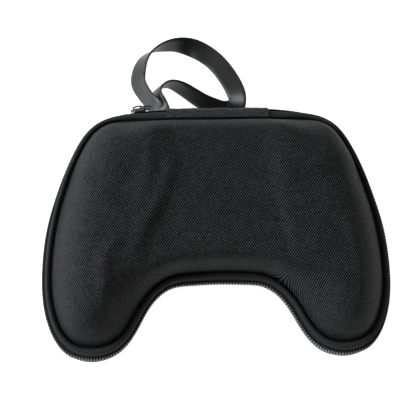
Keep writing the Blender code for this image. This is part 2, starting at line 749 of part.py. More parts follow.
def make_ring(empty):
    """Ring pull threaded under the crown, lying towards the hinge."""
    pivot = add_empty("ring_pivot", Matrix())
    pivot.parent = empty
    pivot.location = (CROWN_LENGTH / 2 - CROWN_BAR - CROWN_RISE,
                      SLIDER_FACE + CROWN_RISE / 2, 0.0)
    bpy.ops.mesh.primitive_torus_add(
        major_radius=RING_RADIUS, minor_radius=RING_WIRE / 2,
        major_segments=18, minor_segments=6)
    made = bpy.context.object
    mesh = made.data
    bpy.data.objects.remove(made, do_unlink=True)
    mesh.transform(Matrix.Translation((RING_RADIUS, 0.0, 0.0))
                   @ Matrix.Rotation(math.pi / 2, 4, "X"))
    ring = add_object("pull_ring", mesh, "metal")
    ring.parent = pivot
    return ring


def make_strap():
    """Wrist strap of flat webbing, both ends sewn in beside the hinge."""
    middle, knots = spline([p for p, _ in STRAP_ROUTE], closed=False)
    ways = np.array([w for _, w in STRAP_ROUTE], float)
    step = 1.0 / STRAP_STEPS
    sections = []
    for i in range(STRAP_STEPS + 1):
        u = i * step
        here = Vector(middle(u))
        ahead = Vector(middle(min(u + step / 10, 1.0))) - Vector(middle(max(u - step / 10, 0.0)))
        ahead.normalize()
        way = Vector([np.interp(u, knots, ways[:, k]) for k in range(3)])
        way = (way - ahead * way.dot(ahead)).normalized()
        up = ahead.cross(way)
        a, b = way * STRAP_WIDTH / 2, up * STRAP_THICKNESS / 2
        sections.append([here - a - b, here + a - b, here + a + b, here - a + b])
    return loft("wrist_strap", sections, "webbing", False, sharp=50.0)


def build():
    """Make every piece of the case."""
    rim = Rim().freeze()
    base = Side("base", -1, BASE_HEIGHT, base_shoulder, base_relief, False)
    lid = Side("lid", 1, LID_HEIGHT, lid_shoulder, lid_relief, True)
    hinge = add_empty("lid_hinge",
                      Matrix.Translation((0.0, HINGE_EDGE_Y + HINGE_OFFSET, PARTING_Z)))
    slider_seat, s = slider_frame(rim)
    reach = SLIDER_LENGTH / 2 + NOTCH_PLAY
    coil_start = STRIP_HALF + SEAM_GAP
    coil_end = rim.lengths_list[-1] - coil_start - COIL_PITCH

    make_shell(base, rim)
    make_welt(base, rim)
    make_tape(base, rim)
    make_coil(base, rim, coil_start, coil_end, 0.0)
    make_binding(base, rim)
    lid_pieces = (make_shell(lid, rim),
                  make_welt(lid, rim),
                  make_tape(lid, rim, notch=(s - reach, s + reach)),
                  make_coil(lid, rim, coil_start, s - reach - COIL_PITCH, 0.5),
                  make_binding(lid, rim))
    for piece in lid_pieces:
        hang(piece, hinge)
    make_hinge_strip()
    make_hinge_lining()
    make_slider(slider_seat)
    make_ring(slider_seat)
    make_strap()


clear_scene()
PARTS = bpy.data.collections.new("controller_carrying_case")
bpy.context.scene.collection.children.link(PARTS)
build()
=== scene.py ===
"""Looks of the controller carrying case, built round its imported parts.

The case is two moulded foam shells faced with woven nylon. Each has a sewn
flange, a rolled welt and one half of a coil zip. A woven strip at the back is
the hinge. A plated slider with a ring pull parks beside it, and a webbing
wrist strap is sewn in there.
"""
from __future__ import annotations

import logging
import math
from contextlib import contextmanager
from dataclasses import dataclass, field
from enum import Enum
from typing import Callable, Iterator, Sequence

import bmesh
import bpy
import numpy as np
from mathutils import Matrix, Vector


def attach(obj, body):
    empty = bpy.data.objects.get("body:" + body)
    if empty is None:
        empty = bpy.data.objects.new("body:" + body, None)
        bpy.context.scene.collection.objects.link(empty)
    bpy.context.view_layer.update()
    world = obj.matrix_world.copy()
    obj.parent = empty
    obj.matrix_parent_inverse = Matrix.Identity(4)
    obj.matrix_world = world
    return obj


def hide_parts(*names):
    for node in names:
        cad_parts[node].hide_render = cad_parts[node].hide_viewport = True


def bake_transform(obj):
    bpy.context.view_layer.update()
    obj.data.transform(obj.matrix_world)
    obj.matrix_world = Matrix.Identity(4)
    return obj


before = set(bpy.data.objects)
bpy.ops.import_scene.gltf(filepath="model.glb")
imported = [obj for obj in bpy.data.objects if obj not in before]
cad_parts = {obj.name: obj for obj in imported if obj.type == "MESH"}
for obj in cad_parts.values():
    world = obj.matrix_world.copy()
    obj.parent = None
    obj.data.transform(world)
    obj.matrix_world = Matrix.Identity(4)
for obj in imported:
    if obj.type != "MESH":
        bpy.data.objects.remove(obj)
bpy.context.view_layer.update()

logging.basicConfig(level=logging.INFO, format="%(message)s")
LOG = logging.getLogger("case")

Array = np.ndarray
Piece = bpy.types.Object
Finish = bpy.types.Material
Socket = bpy.types.NodeSocket
Pair = tuple[float, float]
Triple = tuple[float, float, float]
Relief = Callable[[Array, Array], Array]
Shoulder = Callable[[Array, Array], tuple[Array, Array, Array]]

# Sizes of the case in metres, the same as the solids have.
CASE_WIDTH = 0.1812
CASE_DEPTH = 0.1320
PARTING_Z = 0.0340
LID_HEIGHT = 0.0360
SEAM_GAP = 0.0003
BAND_HALF = 0.0066
SHELL_WALL = 0.0020
COIL_THICKNESS = 0.0013
TAPE_THICKNESS = 0.0005
TAPE_FACE = COIL_THICKNESS + SEAM_GAP
FLANGE_FACE = TAPE_FACE + TAPE_THICKNESS + SEAM_GAP
WELT_WIDTH = 0.0024
WELT_HEIGHT = 0.0030
WELT_PLAY = 0.0005
WALL_SET_BACK = TAPE_FACE + WELT_WIDTH + WELT_PLAY
STRIP_HALF = 0.0265
TUCK = 0.0025
HINGE_EDGE_Y = CASE_DEPTH / 2
BINDING_HIGH = BAND_HALF - SHELL_WALL - SEAM_GAP
SLIDER_FROM_STRIP = 0.0130
SLIDER_LENGTH = 0.0086

# How the sewn rim leans and broadens in metres, softer than on the solids.
FLARE_SET_IN = 0.0016
FLARE_WELT = 0.0009
FLARE_OUT = 0.0015
COIL_PROUD = 0.0003
COIL_PROUD_SIDES = 0.0006
BACK_SET_IN = 0.0026
BACK_WELT = 0.0014
BACK_LEAN = 0.0014

MM = 0.001
WELD = 1e-7
LIGHTS_AIM_Z = 0.03

# Half outline of the zip line from above, from the middle of the hinge edge
# round one grip to the middle of the front, as shares of half width and depth.
HALF_OUTLINE = (
    (0.000, 1.000), (0.287, 1.000), (0.530, 0.964), (0.706, 0.870),
    (0.817, 0.667), (0.905, 0.376), (0.971, 0.036), (1.000, -0.333),
    (0.967, -0.712), (0.861, -0.939), (0.706, -1.000), (0.574, -0.942),
    (0.472, -0.785), (0.381, -0.576), (0.270, -0.452), (0.132, -0.424),
    (0.000, -0.418),
)
HALF_LINE = np.array(HALF_OUTLINE) * (CASE_WIDTH / 2, CASE_DEPTH / 2)
FRONT_Y = HALF_LINE[-1, 1]


class Side(Enum):
    """The two halves of the case, and which way each lies from the zip."""

    LID = 1
    BASE = -1

    @property
    def body(self) -> str:
        """Name of the body that the half's pieces ride on."""
        return self.name.lower()


def eased(value: Array, start: float, over: float) -> Array:
    """Ease from 0 at a start to 1 some way on, and hold outside."""
    t = np.clip((value - start) / over, 0.0, 1.0)
    return t * t * (3.0 - 2.0 * t)


def distances(line: Array) -> Array:
    """Distance along a line at each of its points."""
    return np.concatenate([[0.0], np.cumsum(np.linalg.norm(np.diff(line, axis=0), axis=1))])


def unit(ways: Array) -> Array:
    """Ways brought to length 1."""
    return ways / np.linalg.norm(ways, axis=1)[:, None]


def ripple(s: Array, waves: Sequence[Triple]) -> Array:
    """Sum of small waves along a piece, each with a size, a turn and a start."""
    return sum(size * np.sin(s * turn + start) for size, turn, start in waves)


def times(colour: Triple, factor: float) -> Triple:
    """A colour made lighter or darker."""
    return tuple(c * factor for c in colour)


def spline(points: Sequence[Sequence[float]],
           closed: bool) -> tuple[Callable[[Array], Array], Array]:
    """Cubic curve through points.

    Args:
        points: The points, each of two or three numbers.
        closed: Whether the curve runs back to its first point.

    Returns:
        A function from shares of the chord length to places, and the shares
        at the points.
    """
    pts = np.array(points, float)
    if closed:
        pts = np.vstack([pts, pts[:1]])
    t = distances(pts)
    t /= t[-1]
    h = np.diff(t)
    n = len(h)
    slope = np.diff(pts, axis=0) / h[:, None]
    # Weights of the slopes on either side of each point; an open end has one.
    after, before = h, np.roll(h, 1)
    if not closed:
        after, before = np.array([0.0, *h[1:], 1.0]), np.array([1.0, *h[:-1], 0.0])
    knot = np.arange(len(after))
    a = np.diag(2.0 * (before + after))
    a[knot, knot - 1] += after
    a[knot, (knot + 1) % len(knot)] += before
    b = 3.0 * (after[:, None] * slope[knot - 1] + before[:, None] * slope[knot % n])
    d = np.linalg.solve(a, b)
    if closed:
        d = np.vstack([d, d[:1]])

    def at(u: Array) -> Array:
        u = np.atleast_1d(np.asarray(u, float))
        k = np.clip(np.searchsorted(t, u, side="right") - 1, 0, n - 1)
        s = ((u - t[k]) / h[k])[:, None]
        w = h[k][:, None]
        return ((2 * s**3 - 3 * s**2 + 1) * pts[k] + (s**3 - 2 * s**2 + s) * w * d[k]
                + (3 * s**2 - 2 * s**3) * pts[k + 1] + (s**3 - s**2) * w * d[k + 1])

    return at, t


@dataclass
class RimLine:
    """The zip line from above, with its outward way and how its rim leans."""

    samples: int = 4000
    # Share of the full flare that the front valley has.
    valley_flare: float = 0.5
    # Where each weight starts to rise, and over how much it rises.
    outer_rise: Pair = (-0.35, 0.5)
    broad_fade: Pair = (0.0300, 0.0280)
    broad_turn: Pair = (0.75, 0.2)
    sides_rise: Pair = (0.3, 0.4)
    back_fade: Pair = (0.15, 0.25)
    points: Array = field(init=False)
    ways: Array = field(init=False)
    along: Array = field(init=False)

    def __post_init__(self) -> None:
        """Lay the closed line out by its length."""
        at, _ = spline(np.vstack([HALF_LINE, HALF_LINE[-2:0:-1] * (-1, 1)]), closed=True)
        self.points = at(np.linspace(0.0, 1.0, self.samples + 1))
        self.along = distances(self.points)
        line = self.points[:-1]
        ahead = unit(np.roll(line, -1, axis=0) - np.roll(line, 1, axis=0))
        way = np.column_stack([-ahead[:, 1], ahead[:, 0]])
        self.ways = np.vstack([way, way[:1]])

    @property
    def length(self) -> float:
        """Length of the whole line."""
        return float(self.along[-1])

    @property
    def slider_at(self) -> float:
        """Distance along the line at the slider's middle."""
        return self.length - STRIP_HALF - SLIDER_FROM_STRIP

    def loop(self, pitch: float) -> Array:
        """Even distances once round the line, about a pitch apart."""
        return np.linspace(0.0, self.length, int(self.length / pitch), endpoint=False)

    def at(self, s: Array) -> tuple[Array, Array, Array]:
        """Flat places, outward ways and flares at distances from the hinge's middle."""
        s = np.mod(np.asarray(s, float), self.length)
        point, way = (np.column_stack([np.interp(s, self.along, line[:, k]) for k in (0, 1)])
                      for line in (self.points, self.ways))
        way = unit(way)
        share = eased(FRONT_Y - point[:, 1], 0.0, FRONT_Y + CASE_DEPTH / 2)
        share = self.valley_flare + (1.0 - self.valley_flare) * share
        return point, way, np.maximum(-way[:, 1], 0.0) * share

    @staticmethod
    def lean(side: Side, flare: Array) -> Array:
        """How far a half's rim leans in at its flange; the base's leans out."""
        return FLARE_SET_IN * flare if side is Side.LID else -FLARE_OUT * flare ** 2

    def broad(self, s: Array) -> Array:
        """How far the lid's rim is broadened at the back, from 0 to 1."""
        point, way, _ = self.at(s)
        middle = 1.0 - eased(np.abs(point[:, 0]), *self.broad_fade)
        return middle * eased(way[:, 1], *self.broad_turn)

    def proud(self, s: Array) -> Array:
        """How far the coil stands out of the line, on the case's outer sides only."""
        point, way, _ = self.at(s)
        outer = eased(np.sign(point[:, 0]) * way[:, 0], *self.outer_rise)
        sideways = eased(np.abs(way[:, 0]), *self.sides_rise)
        away = outer * (1.0 - eased(way[:, 1], *self.back_fade))
        return (COIL_PROUD + COIL_PROUD_SIDES * sideways) * away

    def spot(self, side: Side, s: Array, inwards: Array, height: Array,
             leaning: bool = True) -> Array:
        """World places beside the zip line.

        Args:
            side: The half that the height is measured into.
            s: Distances along the line, by station in the first axis.
            inwards: Distances in from the line.
            height: Heights from the parting plane.
            leaning: Whether the half's lean is added.

        Returns:
            Places of three numbers, by station and then by point.
        """
        s, inwards, height = np.broadcast_arrays(s, inwards, height)
        point, way, flare = self.at(s.ravel())
        deep, high = inwards.ravel(), height.ravel()
        if leaning:
            deep = deep + self.lean(side, flare) * np.clip(high / BAND_HALF, 0.0, 1.0)
        places = np.column_stack([point - way * deep[:, None], PARTING_Z + side.value * high])
        return places.reshape(*s.shape, 3)


class Bench:
    """Operators and helpers that the pieces are modelled with."""

    @staticmethod
    def pick(obj: Piece | None = None) -> None:
        """Leave one object, or none, selected, in object mode."""
        if bpy.context.object and bpy.context.object.mode != "OBJECT":
            bpy.ops.object.mode_set(mode="OBJECT")
        bpy.ops.object.select_all(action="DESELECT")
        if obj:
            obj.select_set(True)
            bpy.context.view_layer.objects.active = obj

    @staticmethod
    def primitive(name: str, add: Callable[..., object], **sizes: object) -> Piece:
        """A primitive with a name, from the operator that adds it."""
        Bench.pick()
        add(**sizes)
        obj = bpy.context.object
        obj.name = obj.data.name = name
        return obj

    @staticmethod
    def add(name: str, data: bpy.types.ID) -> Piece:
        """Put an object with the given data into the scene."""
        obj = bpy.data.objects.new(name, data)
        bpy.context.scene.collection.objects.link(obj)
        return obj

    @staticmethod
    def places(obj: Piece) -> Array:
        """Places of an object's vertices, in their order."""
        co = np.zeros(len(obj.data.vertices) * 3, np.float32)
        obj.data.vertices.foreach_get("co", co)
        return co.reshape(-1, 3).astype(float)

    @staticmethod
    def place(obj: Piece, places: Array) -> None:
        """Move an object's vertices to places, in their order."""
        obj.data.vertices.foreach_set("co", np.asarray(places, np.float32).ravel())
        obj.data.update()

    @staticmethod
    @contextmanager
    def editing(obj: Piece) -> Iterator[None]:
        """Edit mode on all of an object, for the operators of a block."""
        Bench.pick(obj)
        bpy.ops.object.mode_set(mode="EDIT")
        bpy.ops.mesh.select_mode(type="VERT")
        bpy.ops.mesh.select_all(action="SELECT")
        yield
        bpy.ops.object.mode_set(mode="OBJECT")

    @staticmethod
    def close(obj: Piece, capped: bool = False) -> None:
        """Weld doubled vertices, cap open ends if asked, and turn the faces outwards."""
        with Bench.editing(obj):
            bpy.ops.mesh.remove_doubles(threshold=WELD)
            if capped:
                bpy.ops.mesh.select_all(action="DESELECT")
                bpy.ops.mesh.select_non_manifold()
                bpy.ops.mesh.edge_face_add()
                bpy.ops.mesh.select_all(action="SELECT")
            bpy.ops.mesh.normals_make_consistent(inside=False)

    @staticmethod
    def apply(obj: Piece) -> None:
        """Apply an object's modifiers."""
        Bench.pick(obj)
        for modifier in list(obj.modifiers):
            bpy.ops.object.modifier_apply(modifier=modifier.name)

    @staticmethod
    def uv(obj: Piece, spots: Array) -> None:
        """Give each vertex a place on the cloth, in metres."""
        mesh = obj.data
        layer = mesh.uv_layers.new(name="cloth")
        loops = np.zeros(len(mesh.loops), int)
        mesh.loops.foreach_get("vertex_index", loops)
        layer.data.foreach_set("uv", np.asarray(spots, np.float32)[loops].ravel())

    @staticmethod
    def grid(name: str, columns: int, rows: int) -> tuple[Piece, Array, Array]:
        """Grid primitive, with the row and the column of each of its vertices."""
        obj = Bench.primitive(name, bpy.ops.mesh.primitive_grid_add, x_subdivisions=columns,
                              y_subdivisions=rows, size=2.0, calc_uvs=False)
        shares = (Bench.places(obj)[:, :2] + 1.0) / 2.0
        column, row = np.rint(shares * (columns, rows)).astype(int).T
        return obj, row, column

    @staticmethod
    def band(name: str, sections: Array, lengths: Array, widths: Array,
             closed: bool = False) -> Piece:
        """Grid rolled round its sections, then welded and capped.

        Args:
            name: The piece's name.
            sections: Places by station, then by point of the section.
            lengths: Distance on the cloth at each station, and at a loop's end.
            widths: Distance round the section at each point, and at the seam.
            closed: Whether the band runs back to its first station.

        Returns:
            The mesh object, closed.
        """
        if closed:
            sections = np.concatenate([sections, sections[:1]])
        rolled = np.concatenate([sections, sections[:, :1]], axis=1)
        obj, row, column = Bench.grid(name, sections.shape[1], len(sections) - 1)
        Bench.place(obj, rolled[row, column])
        Bench.uv(obj, np.column_stack([lengths[row], widths[column]]))
        Bench.close(obj, capped=not closed)
        return obj

    @staticmethod
    def dress(obj: Piece, degrees: float, *finishes: Finish) -> None:
        """Give a piece its finishes and smooth shading, with sharper edges left crisp."""
        obj.data.materials.clear()
        for finish in finishes:
            obj.data.materials.append(finish)
        Bench.pick(obj)
        bpy.ops.object.shade_smooth_by_angle(angle=math.radians(degrees))

    @staticmethod
    def hand_over(obj: Piece, body: str, node: str, slot: str) -> None:
        """Tell the frame what a piece rides on, and hide the solid that it stands for."""
        if body:
            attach(obj, body)
        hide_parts(node)
        LOG.info("%s: %d faces", obj.name, len(obj.data.polygons))


class Shader:
    """A small builder of one material's nodes."""

    def __init__(self, name: str) -> None:
        """Start an empty material with a Principled shader."""
        self.material = bpy.data.materials.new(name)
        self.material.use_nodes = True
        self.tree = self.material.node_tree
        self.principled = self.tree.nodes["Principled BSDF"]

    def set(self, **values: object) -> None:
        """Set constants on the shader's own sockets, by name with underscores."""
        for name, value in values.items():
            self.principled.inputs[name.replace("_", " ")].default_value = value

    def link(self, source: Socket, socket: str) -> None:
        """Join a socket to one of the shader's."""
        self.tree.links.new(source, self.principled.inputs[socket])

    def node(self, kind: str, output: int | str, inputs: dict[int | str, object],
             **settings: object) -> Socket:
        """One output of a new node, with its settings and its set or linked inputs."""
        node = self.tree.nodes.new(kind)
        for name, value in settings.items():
            setattr(node, name, value)
        for socket, value in inputs.items():
            if isinstance(value, bpy.types.NodeSocket):
                self.tree.links.new(value, node.inputs[socket])
            else:
                node.inputs[socket].default_value = value
        return node.outputs[output]

    def math(self, operation: str, *values: object, clamp: bool = False) -> Socket:
        """Result of a Math node."""
        return self.node("ShaderNodeMath", 0, dict(enumerate(values)), operation=operation,
                         use_clamp=clamp)

    def scaled(self, value: Socket, least: object, share: float) -> Socket:
        """A share of a value, added to the least that there is."""
        return self.math("MULTIPLY_ADD", value, share, least)

    def wave(self, kind: str, value: Socket, turn: float) -> Socket:
        """Sine or cosine of a value times a turn."""
        return self.math(kind, self.math("MULTIPLY", value, turn))

    def uv(self) -> list[Socket]:
        """The two numbers of the cloth's own map."""
        spot = self.node("ShaderNodeTexCoord", "UV", {})
        return [self.node("ShaderNodeSeparateXYZ", k, {0: spot}) for k in (0, 1)]

    def noise(self, scale: float, detail: float = 2.0) -> Socket:
        """Value of a Noise texture, in object coordinates."""
        spot = self.node("ShaderNodeTexCoord", "Object", {})
        return self.node("ShaderNodeTexNoise", "Fac",
                         {"Vector": spot, "Scale": scale, "Detail": detail})

    def cell(self, x: Socket, y: Socket) -> Socket:
        """Random value for each square between whole numbers."""
        corner = {0: self.math("FLOOR", x), 1: self.math("FLOOR", y)}
        return self.node("ShaderNodeTexWhiteNoise", "Value",
                         {"Vector": self.node("ShaderNodeCombineXYZ", 0, corner)},
                         noise_dimensions="2D")

    def colour(self, factor: Socket, low: Triple, high: Triple) -> None:
        """Give the shader a mix of two colours."""
        inputs = {0: factor, 6: (*low, 1.0), 7: (*high, 1.0)}
        self.link(self.node("ShaderNodeMix", 2, inputs, data_type="RGBA"), "Base Color")

    def bump(self, height: Socket, distance: float, strength: float = 1.0) -> None:
        """Raise the surface by a height from 0 to 1."""
        inputs = {"Height": height, "Distance": distance, "Strength": strength}
        self.link(self.node("ShaderNodeBump", 0, inputs), "Normal")


@dataclass(frozen=True)
class WovenNylon:
    """Plain weave of stout nylon yarn, laminated on foam."""

    name: str
    # dark: painted shade between the yarns; light: painted highlight on their crowns.
    dark: Triple = (0.0006, 0.0006, 0.0008)
    light: Triple = (0.148, 0.149, 0.154)
    warp_pitch: float = 0.00064
    weft_pitch: float = 0.00090
    relief: float = 0.00018
    roughness: float = 0.60
    specular: float = 0.05
    streak: float = 0.68
    # Least light of a yarn or a patch, and the share that varies.
    yarn_shade: Pair = (0.45, 0.50)
    patch_shade: Pair = (0.80, 0.4)

    def build(self) -> Finish:
        """Material whose yarns cross over and under in turn, with painted highlight and shade."""
        s = Shader(self.name)
        u, v = s.uv()
        a = s.math("DIVIDE", u, self.warp_pitch)
        b = s.math("DIVIDE", v, self.weft_pitch)
        rising = s.wave("COSINE", s.math("SUBTRACT", a, b), math.pi)
        falling = s.wave("COSINE", s.math("ADD", a, b), math.pi)
        over = s.math("SUBTRACT", s.math("MULTIPLY", rising, self.streak),
                      s.math("MULTIPLY", falling, 1.0 - self.streak))
        shade = s.math("MULTIPLY", s.scaled(s.cell(a, b), *self.yarn_shade),
                       s.scaled(s.noise(90.0, 3.0), *self.patch_shade))
        # Painted highlight on the yarn crowns, painted shade between them.
        s.colour(s.math("MULTIPLY", s.math("MAXIMUM", over, 0.0), shade, clamp=True),
                 self.dark, self.light)
        s.bump(s.scaled(over, 0.5, 0.5), self.relief)
        s.set(Roughness=self.roughness, Specular_IOR_Level=self.specular)
        return s.material


@dataclass(frozen=True)
class RibbedTape:
    """Narrow woven tape with ribs across it and finer yarns along it."""

    name: str
    pitch: float
    # dark: painted shade in the grooves between ribs; light: painted light on their crests.
    dark: Triple
    light: Triple
    relief: float = 0.00008
    roughness: float = 0.65
    cross: float = 0.0003
    sheen: float = 0.02
    specular: float = 0.06
    rib_height: float = 0.36
    yarn_height: float = 0.12

    def build(self) -> Finish:
        """Material with ribs across the length and finer yarns along it, painted light and shade.
        """
        s = Shader(self.name)
        u, v = s.uv()
        rib = s.scaled(s.wave("SINE", u, math.tau / self.pitch), 0.5, self.rib_height)
        height = s.scaled(s.wave("SINE", v, math.tau / self.cross), rib, self.yarn_height)
        cell = s.cell(s.math("DIVIDE", u, self.pitch), s.math("DIVIDE", v, self.cross))
        shade = s.math("MULTIPLY", height, s.scaled(cell, 0.7, 0.3))
        # Painted shade in the grooves and painted light on the crests, varied at random.
        s.colour(s.math("MULTIPLY", shade, s.scaled(s.noise(60.0), 0.7, 0.6), clamp=True),
                 self.dark, self.light)
        s.bump(height, self.relief)
        s.set(Roughness=self.roughness, Specular_IOR_Level=self.specular,
              Sheen_Weight=self.sheen, Sheen_Roughness=0.45)
        return s.material


@dataclass(frozen=True)
class BrushedLining:
    """Short-napped knit lining inside the shells."""

    name: str
    colour: Triple = (0.020, 0.020, 0.022)

    def build(self) -> Finish:
        """Soft material with a fine nap."""
        s = Shader(self.name)
        nap = s.noise(1400.0, 4.0)
        patch = s.math("MULTIPLY", s.noise(45.0), 0.3)
        s.colour(s.math("MULTIPLY_ADD", nap, 0.7, patch, clamp=True),
                 times(self.colour, 0.5), times(self.colour, 1.7))
        s.bump(nap, 0.00025, 0.8)
        s.set(Roughness=0.9, Sheen_Weight=0.25, Sheen_Roughness=0.5)
        return s.material


@dataclass(frozen=True)
class NylonCoil:
    """Moulded nylon filament of the zip's teeth."""

    name: str
    colour: Triple = (0.260, 0.265, 0.270)

    def build(self) -> Finish:
        """Soft-glossy material, a little uneven."""
        s = Shader(self.name)
        s.colour(s.noise(700.0, 3.0), times(self.colour, 0.8), times(self.colour, 1.2))
        s.set(Roughness=0.45, Specular_IOR_Level=0.4)
        return s.material


@dataclass(frozen=True)
class PlatedMetal:
    """Plated zinc casting or wire."""

    name: str
    colour: Triple
    roughness: float

    def build(self) -> Finish:
        """Metal with faint casting marks and uneven gloss."""
        s = Shader(self.name)
        cloud = s.noise(900.0, 3.0)
        s.colour(cloud, times(self.colour, 0.8), self.colour)
        s.link(s.scaled(cloud, self.roughness - 0.1, 0.22), "Roughness")
        s.bump(cloud, 0.00002, 0.5)
        s.set(Metallic=1.0)
        return s.material


@dataclass
class Fold:
    """A pressed ridge or crease in the lid's top."""

    # Points of its middle line, in millimetres.
    line: tuple[Pair, ...]
    rise: float
    half: float
    fade: float = 0.28

    def height(self, x: Array, y: Array) -> Array:
        """Height that the fold adds at places, faded towards its ends."""
        share = np.linspace(0.0, 1.0, 60)
        path = spline(np.array(self.line) * MM, closed=False)[0](share)
        gap = np.hypot(x[:, None] - path[:, 0], y[:, None] - path[:, 1])
        fade = eased(np.minimum(share, 1.0 - share), 0.0, self.fade)[gap.argmin(axis=1)]
        return self.rise * fade * np.exp(-(gap.min(axis=1) / self.half) ** 2)


@dataclass
class LidRelief:
    """The pressed shape of the lid's top, as its fall below full height."""

    drop: float = 0.0021
    edge: float = 0.0080
    unevenness: float = 0.00022
    # The unevenness: turns by x and y and a start, then how its waves bend and fade.
    waves: tuple[Triple, ...] = (
        (61.0, 23.0, 0.4), (-37.0, 71.0, 1.9), (113.0, -58.0, 3.1), (29.0, 139.0, 5.0),
        (-151.0, -97.0, 0.9), (208.0, 41.0, 2.3))
    wave_bend: Pair = (1.7, 47.0)
    wave_fade: float = 0.35
    wave_sum: float = 2.4
    # Half width of the sunk panel, from the back to the front.
    edge_line: tuple[Pair, ...] = (
        (-0.0600, 0.0510), (-0.0410, 0.0485), (-0.0210, 0.0430), (-0.0060, 0.0385),
        (0.0090, 0.0335), (0.0260, 0.0298), (0.0500, 0.0262))
    folds: tuple[Fold, ...] = (
        Fold(((-22.5, 44.0), (-24.5, 30.0), (-28.7, 17.0), (-34.5, 5.0),
              (-40.5, -6.0), (-41.8, -21.0)), 0.0016, 0.0040),
        Fold(((-43.0, 2.0), (-50.0, -6.0), (-56.8, -12.8), (-57.8, -30.0),
              (-57.0, -56.0)), 0.0015, 0.0038),
        Fold(((-35.0, 46.0), (-34.6, 33.0), (-35.2, 19.0)), 0.0006, 0.0028),
        Fold(((27.7, 47.0), (30.4, 26.4), (33.2, 9.4), (38.7, -14.5),
              (47.5, -41.1), (48.6, -50.0)), 0.0006, 0.0034),
        Fold(((59.0, 12.0), (65.5, -3.0), (68.8, -16.5), (69.5, -30.0),
              (68.0, -43.0), (62.5, -57.0)), 0.0009, 0.0032),
        Fold(((-70.0, 25.5), (-56.0, 23.6), (-46.5, 23.0), (-37.0, 23.6)),
             -0.0019, 0.0042),
        Fold(((34.0, 24.0), (44.0, 23.0), (54.0, 23.2), (66.0, 24.0)),
             -0.0017, 0.0042),
        Fold(((-52.0, 22.0), (-46.5, 15.0), (-43.0, 8.0)), -0.0008, 0.0060),
    )

    def fall(self, x: Array, y: Array) -> Array:
        """Fall of the top below its full height at places."""
        edge = np.interp(y, *np.array(self.edge_line).T)
        total = self.drop * (1.0 - eased(np.abs(x) - edge, -self.edge, 2 * self.edge))
        for fold in self.folds:
            total = total - fold.height(x, y)
        return total - self.uneven(x, y)

    def uneven(self, x: Array, y: Array) -> Array:
        """Gentle unevenness of laminated foam."""
        total = np.zeros_like(x)
        size, turn = self.wave_bend
        for k, (a, b, start) in enumerate(self.waves):
            bent = start + size * np.sin(turn * y - k)
            total = total + np.sin(a * x + b * y + bent) / (1.0 + self.wave_fade * k)
        return total * self.unevenness / self.wave_sum


# Reach of a soft shoulder in metres, and the power and the root of its curve.
SOFT_SHOULDER = (0.0160, 2.5, 0.4)


@dataclass(frozen=True)
class LidShoulder:
    """The lid's shoulder: wide at the sides, short in the middle, soft at the back pads."""

    sides: Triple = (0.0280, 3.2, 1.0)
    middle_reach: float = -0.0170
    back_reach: float = 0.0020
    back_power: float = -0.6
    pad_weight: float = 0.4
    # Where each part starts to show or to fade, and over how far.
    middle_fade: Pair = (0.0300, 0.0250)
    pad_x: Pair = (0.0430, 0.0140)
    pad_y: Pair = (0.0240, 0.0140)
    back_y: Pair = (0.0200, 0.0200)

    def at(self, x: Array, y: Array) -> tuple[Array, Array, Array]:
        """Reach, power and root at places."""
        middle = 1.0 - eased(np.abs(x), *self.middle_fade)
        back = middle * eased(y, *self.back_y)
        pad = self.pad_weight * eased(np.abs(x), *self.pad_x) * eased(y, *self.pad_y)
        reach, power, root = self.sides
        reach = reach + self.middle_reach * middle + self.back_reach * back
        reach, power, root = (own + (soft - own) * pad
                              for own, soft in zip((reach, power, root), SOFT_SHOULDER))
        return reach, power + self.back_power * back, root


def base_shoulder(x: Array, y: Array) -> tuple[Array, ...]:
    """Reach, power and root of the base's shoulder, the same all round."""
    return tuple(np.full_like(x, value) for value in SOFT_SHOULDER)


def base_fall(x: Array, y: Array) -> Array:
    """The base is flat underneath."""
    return np.zeros_like(x)


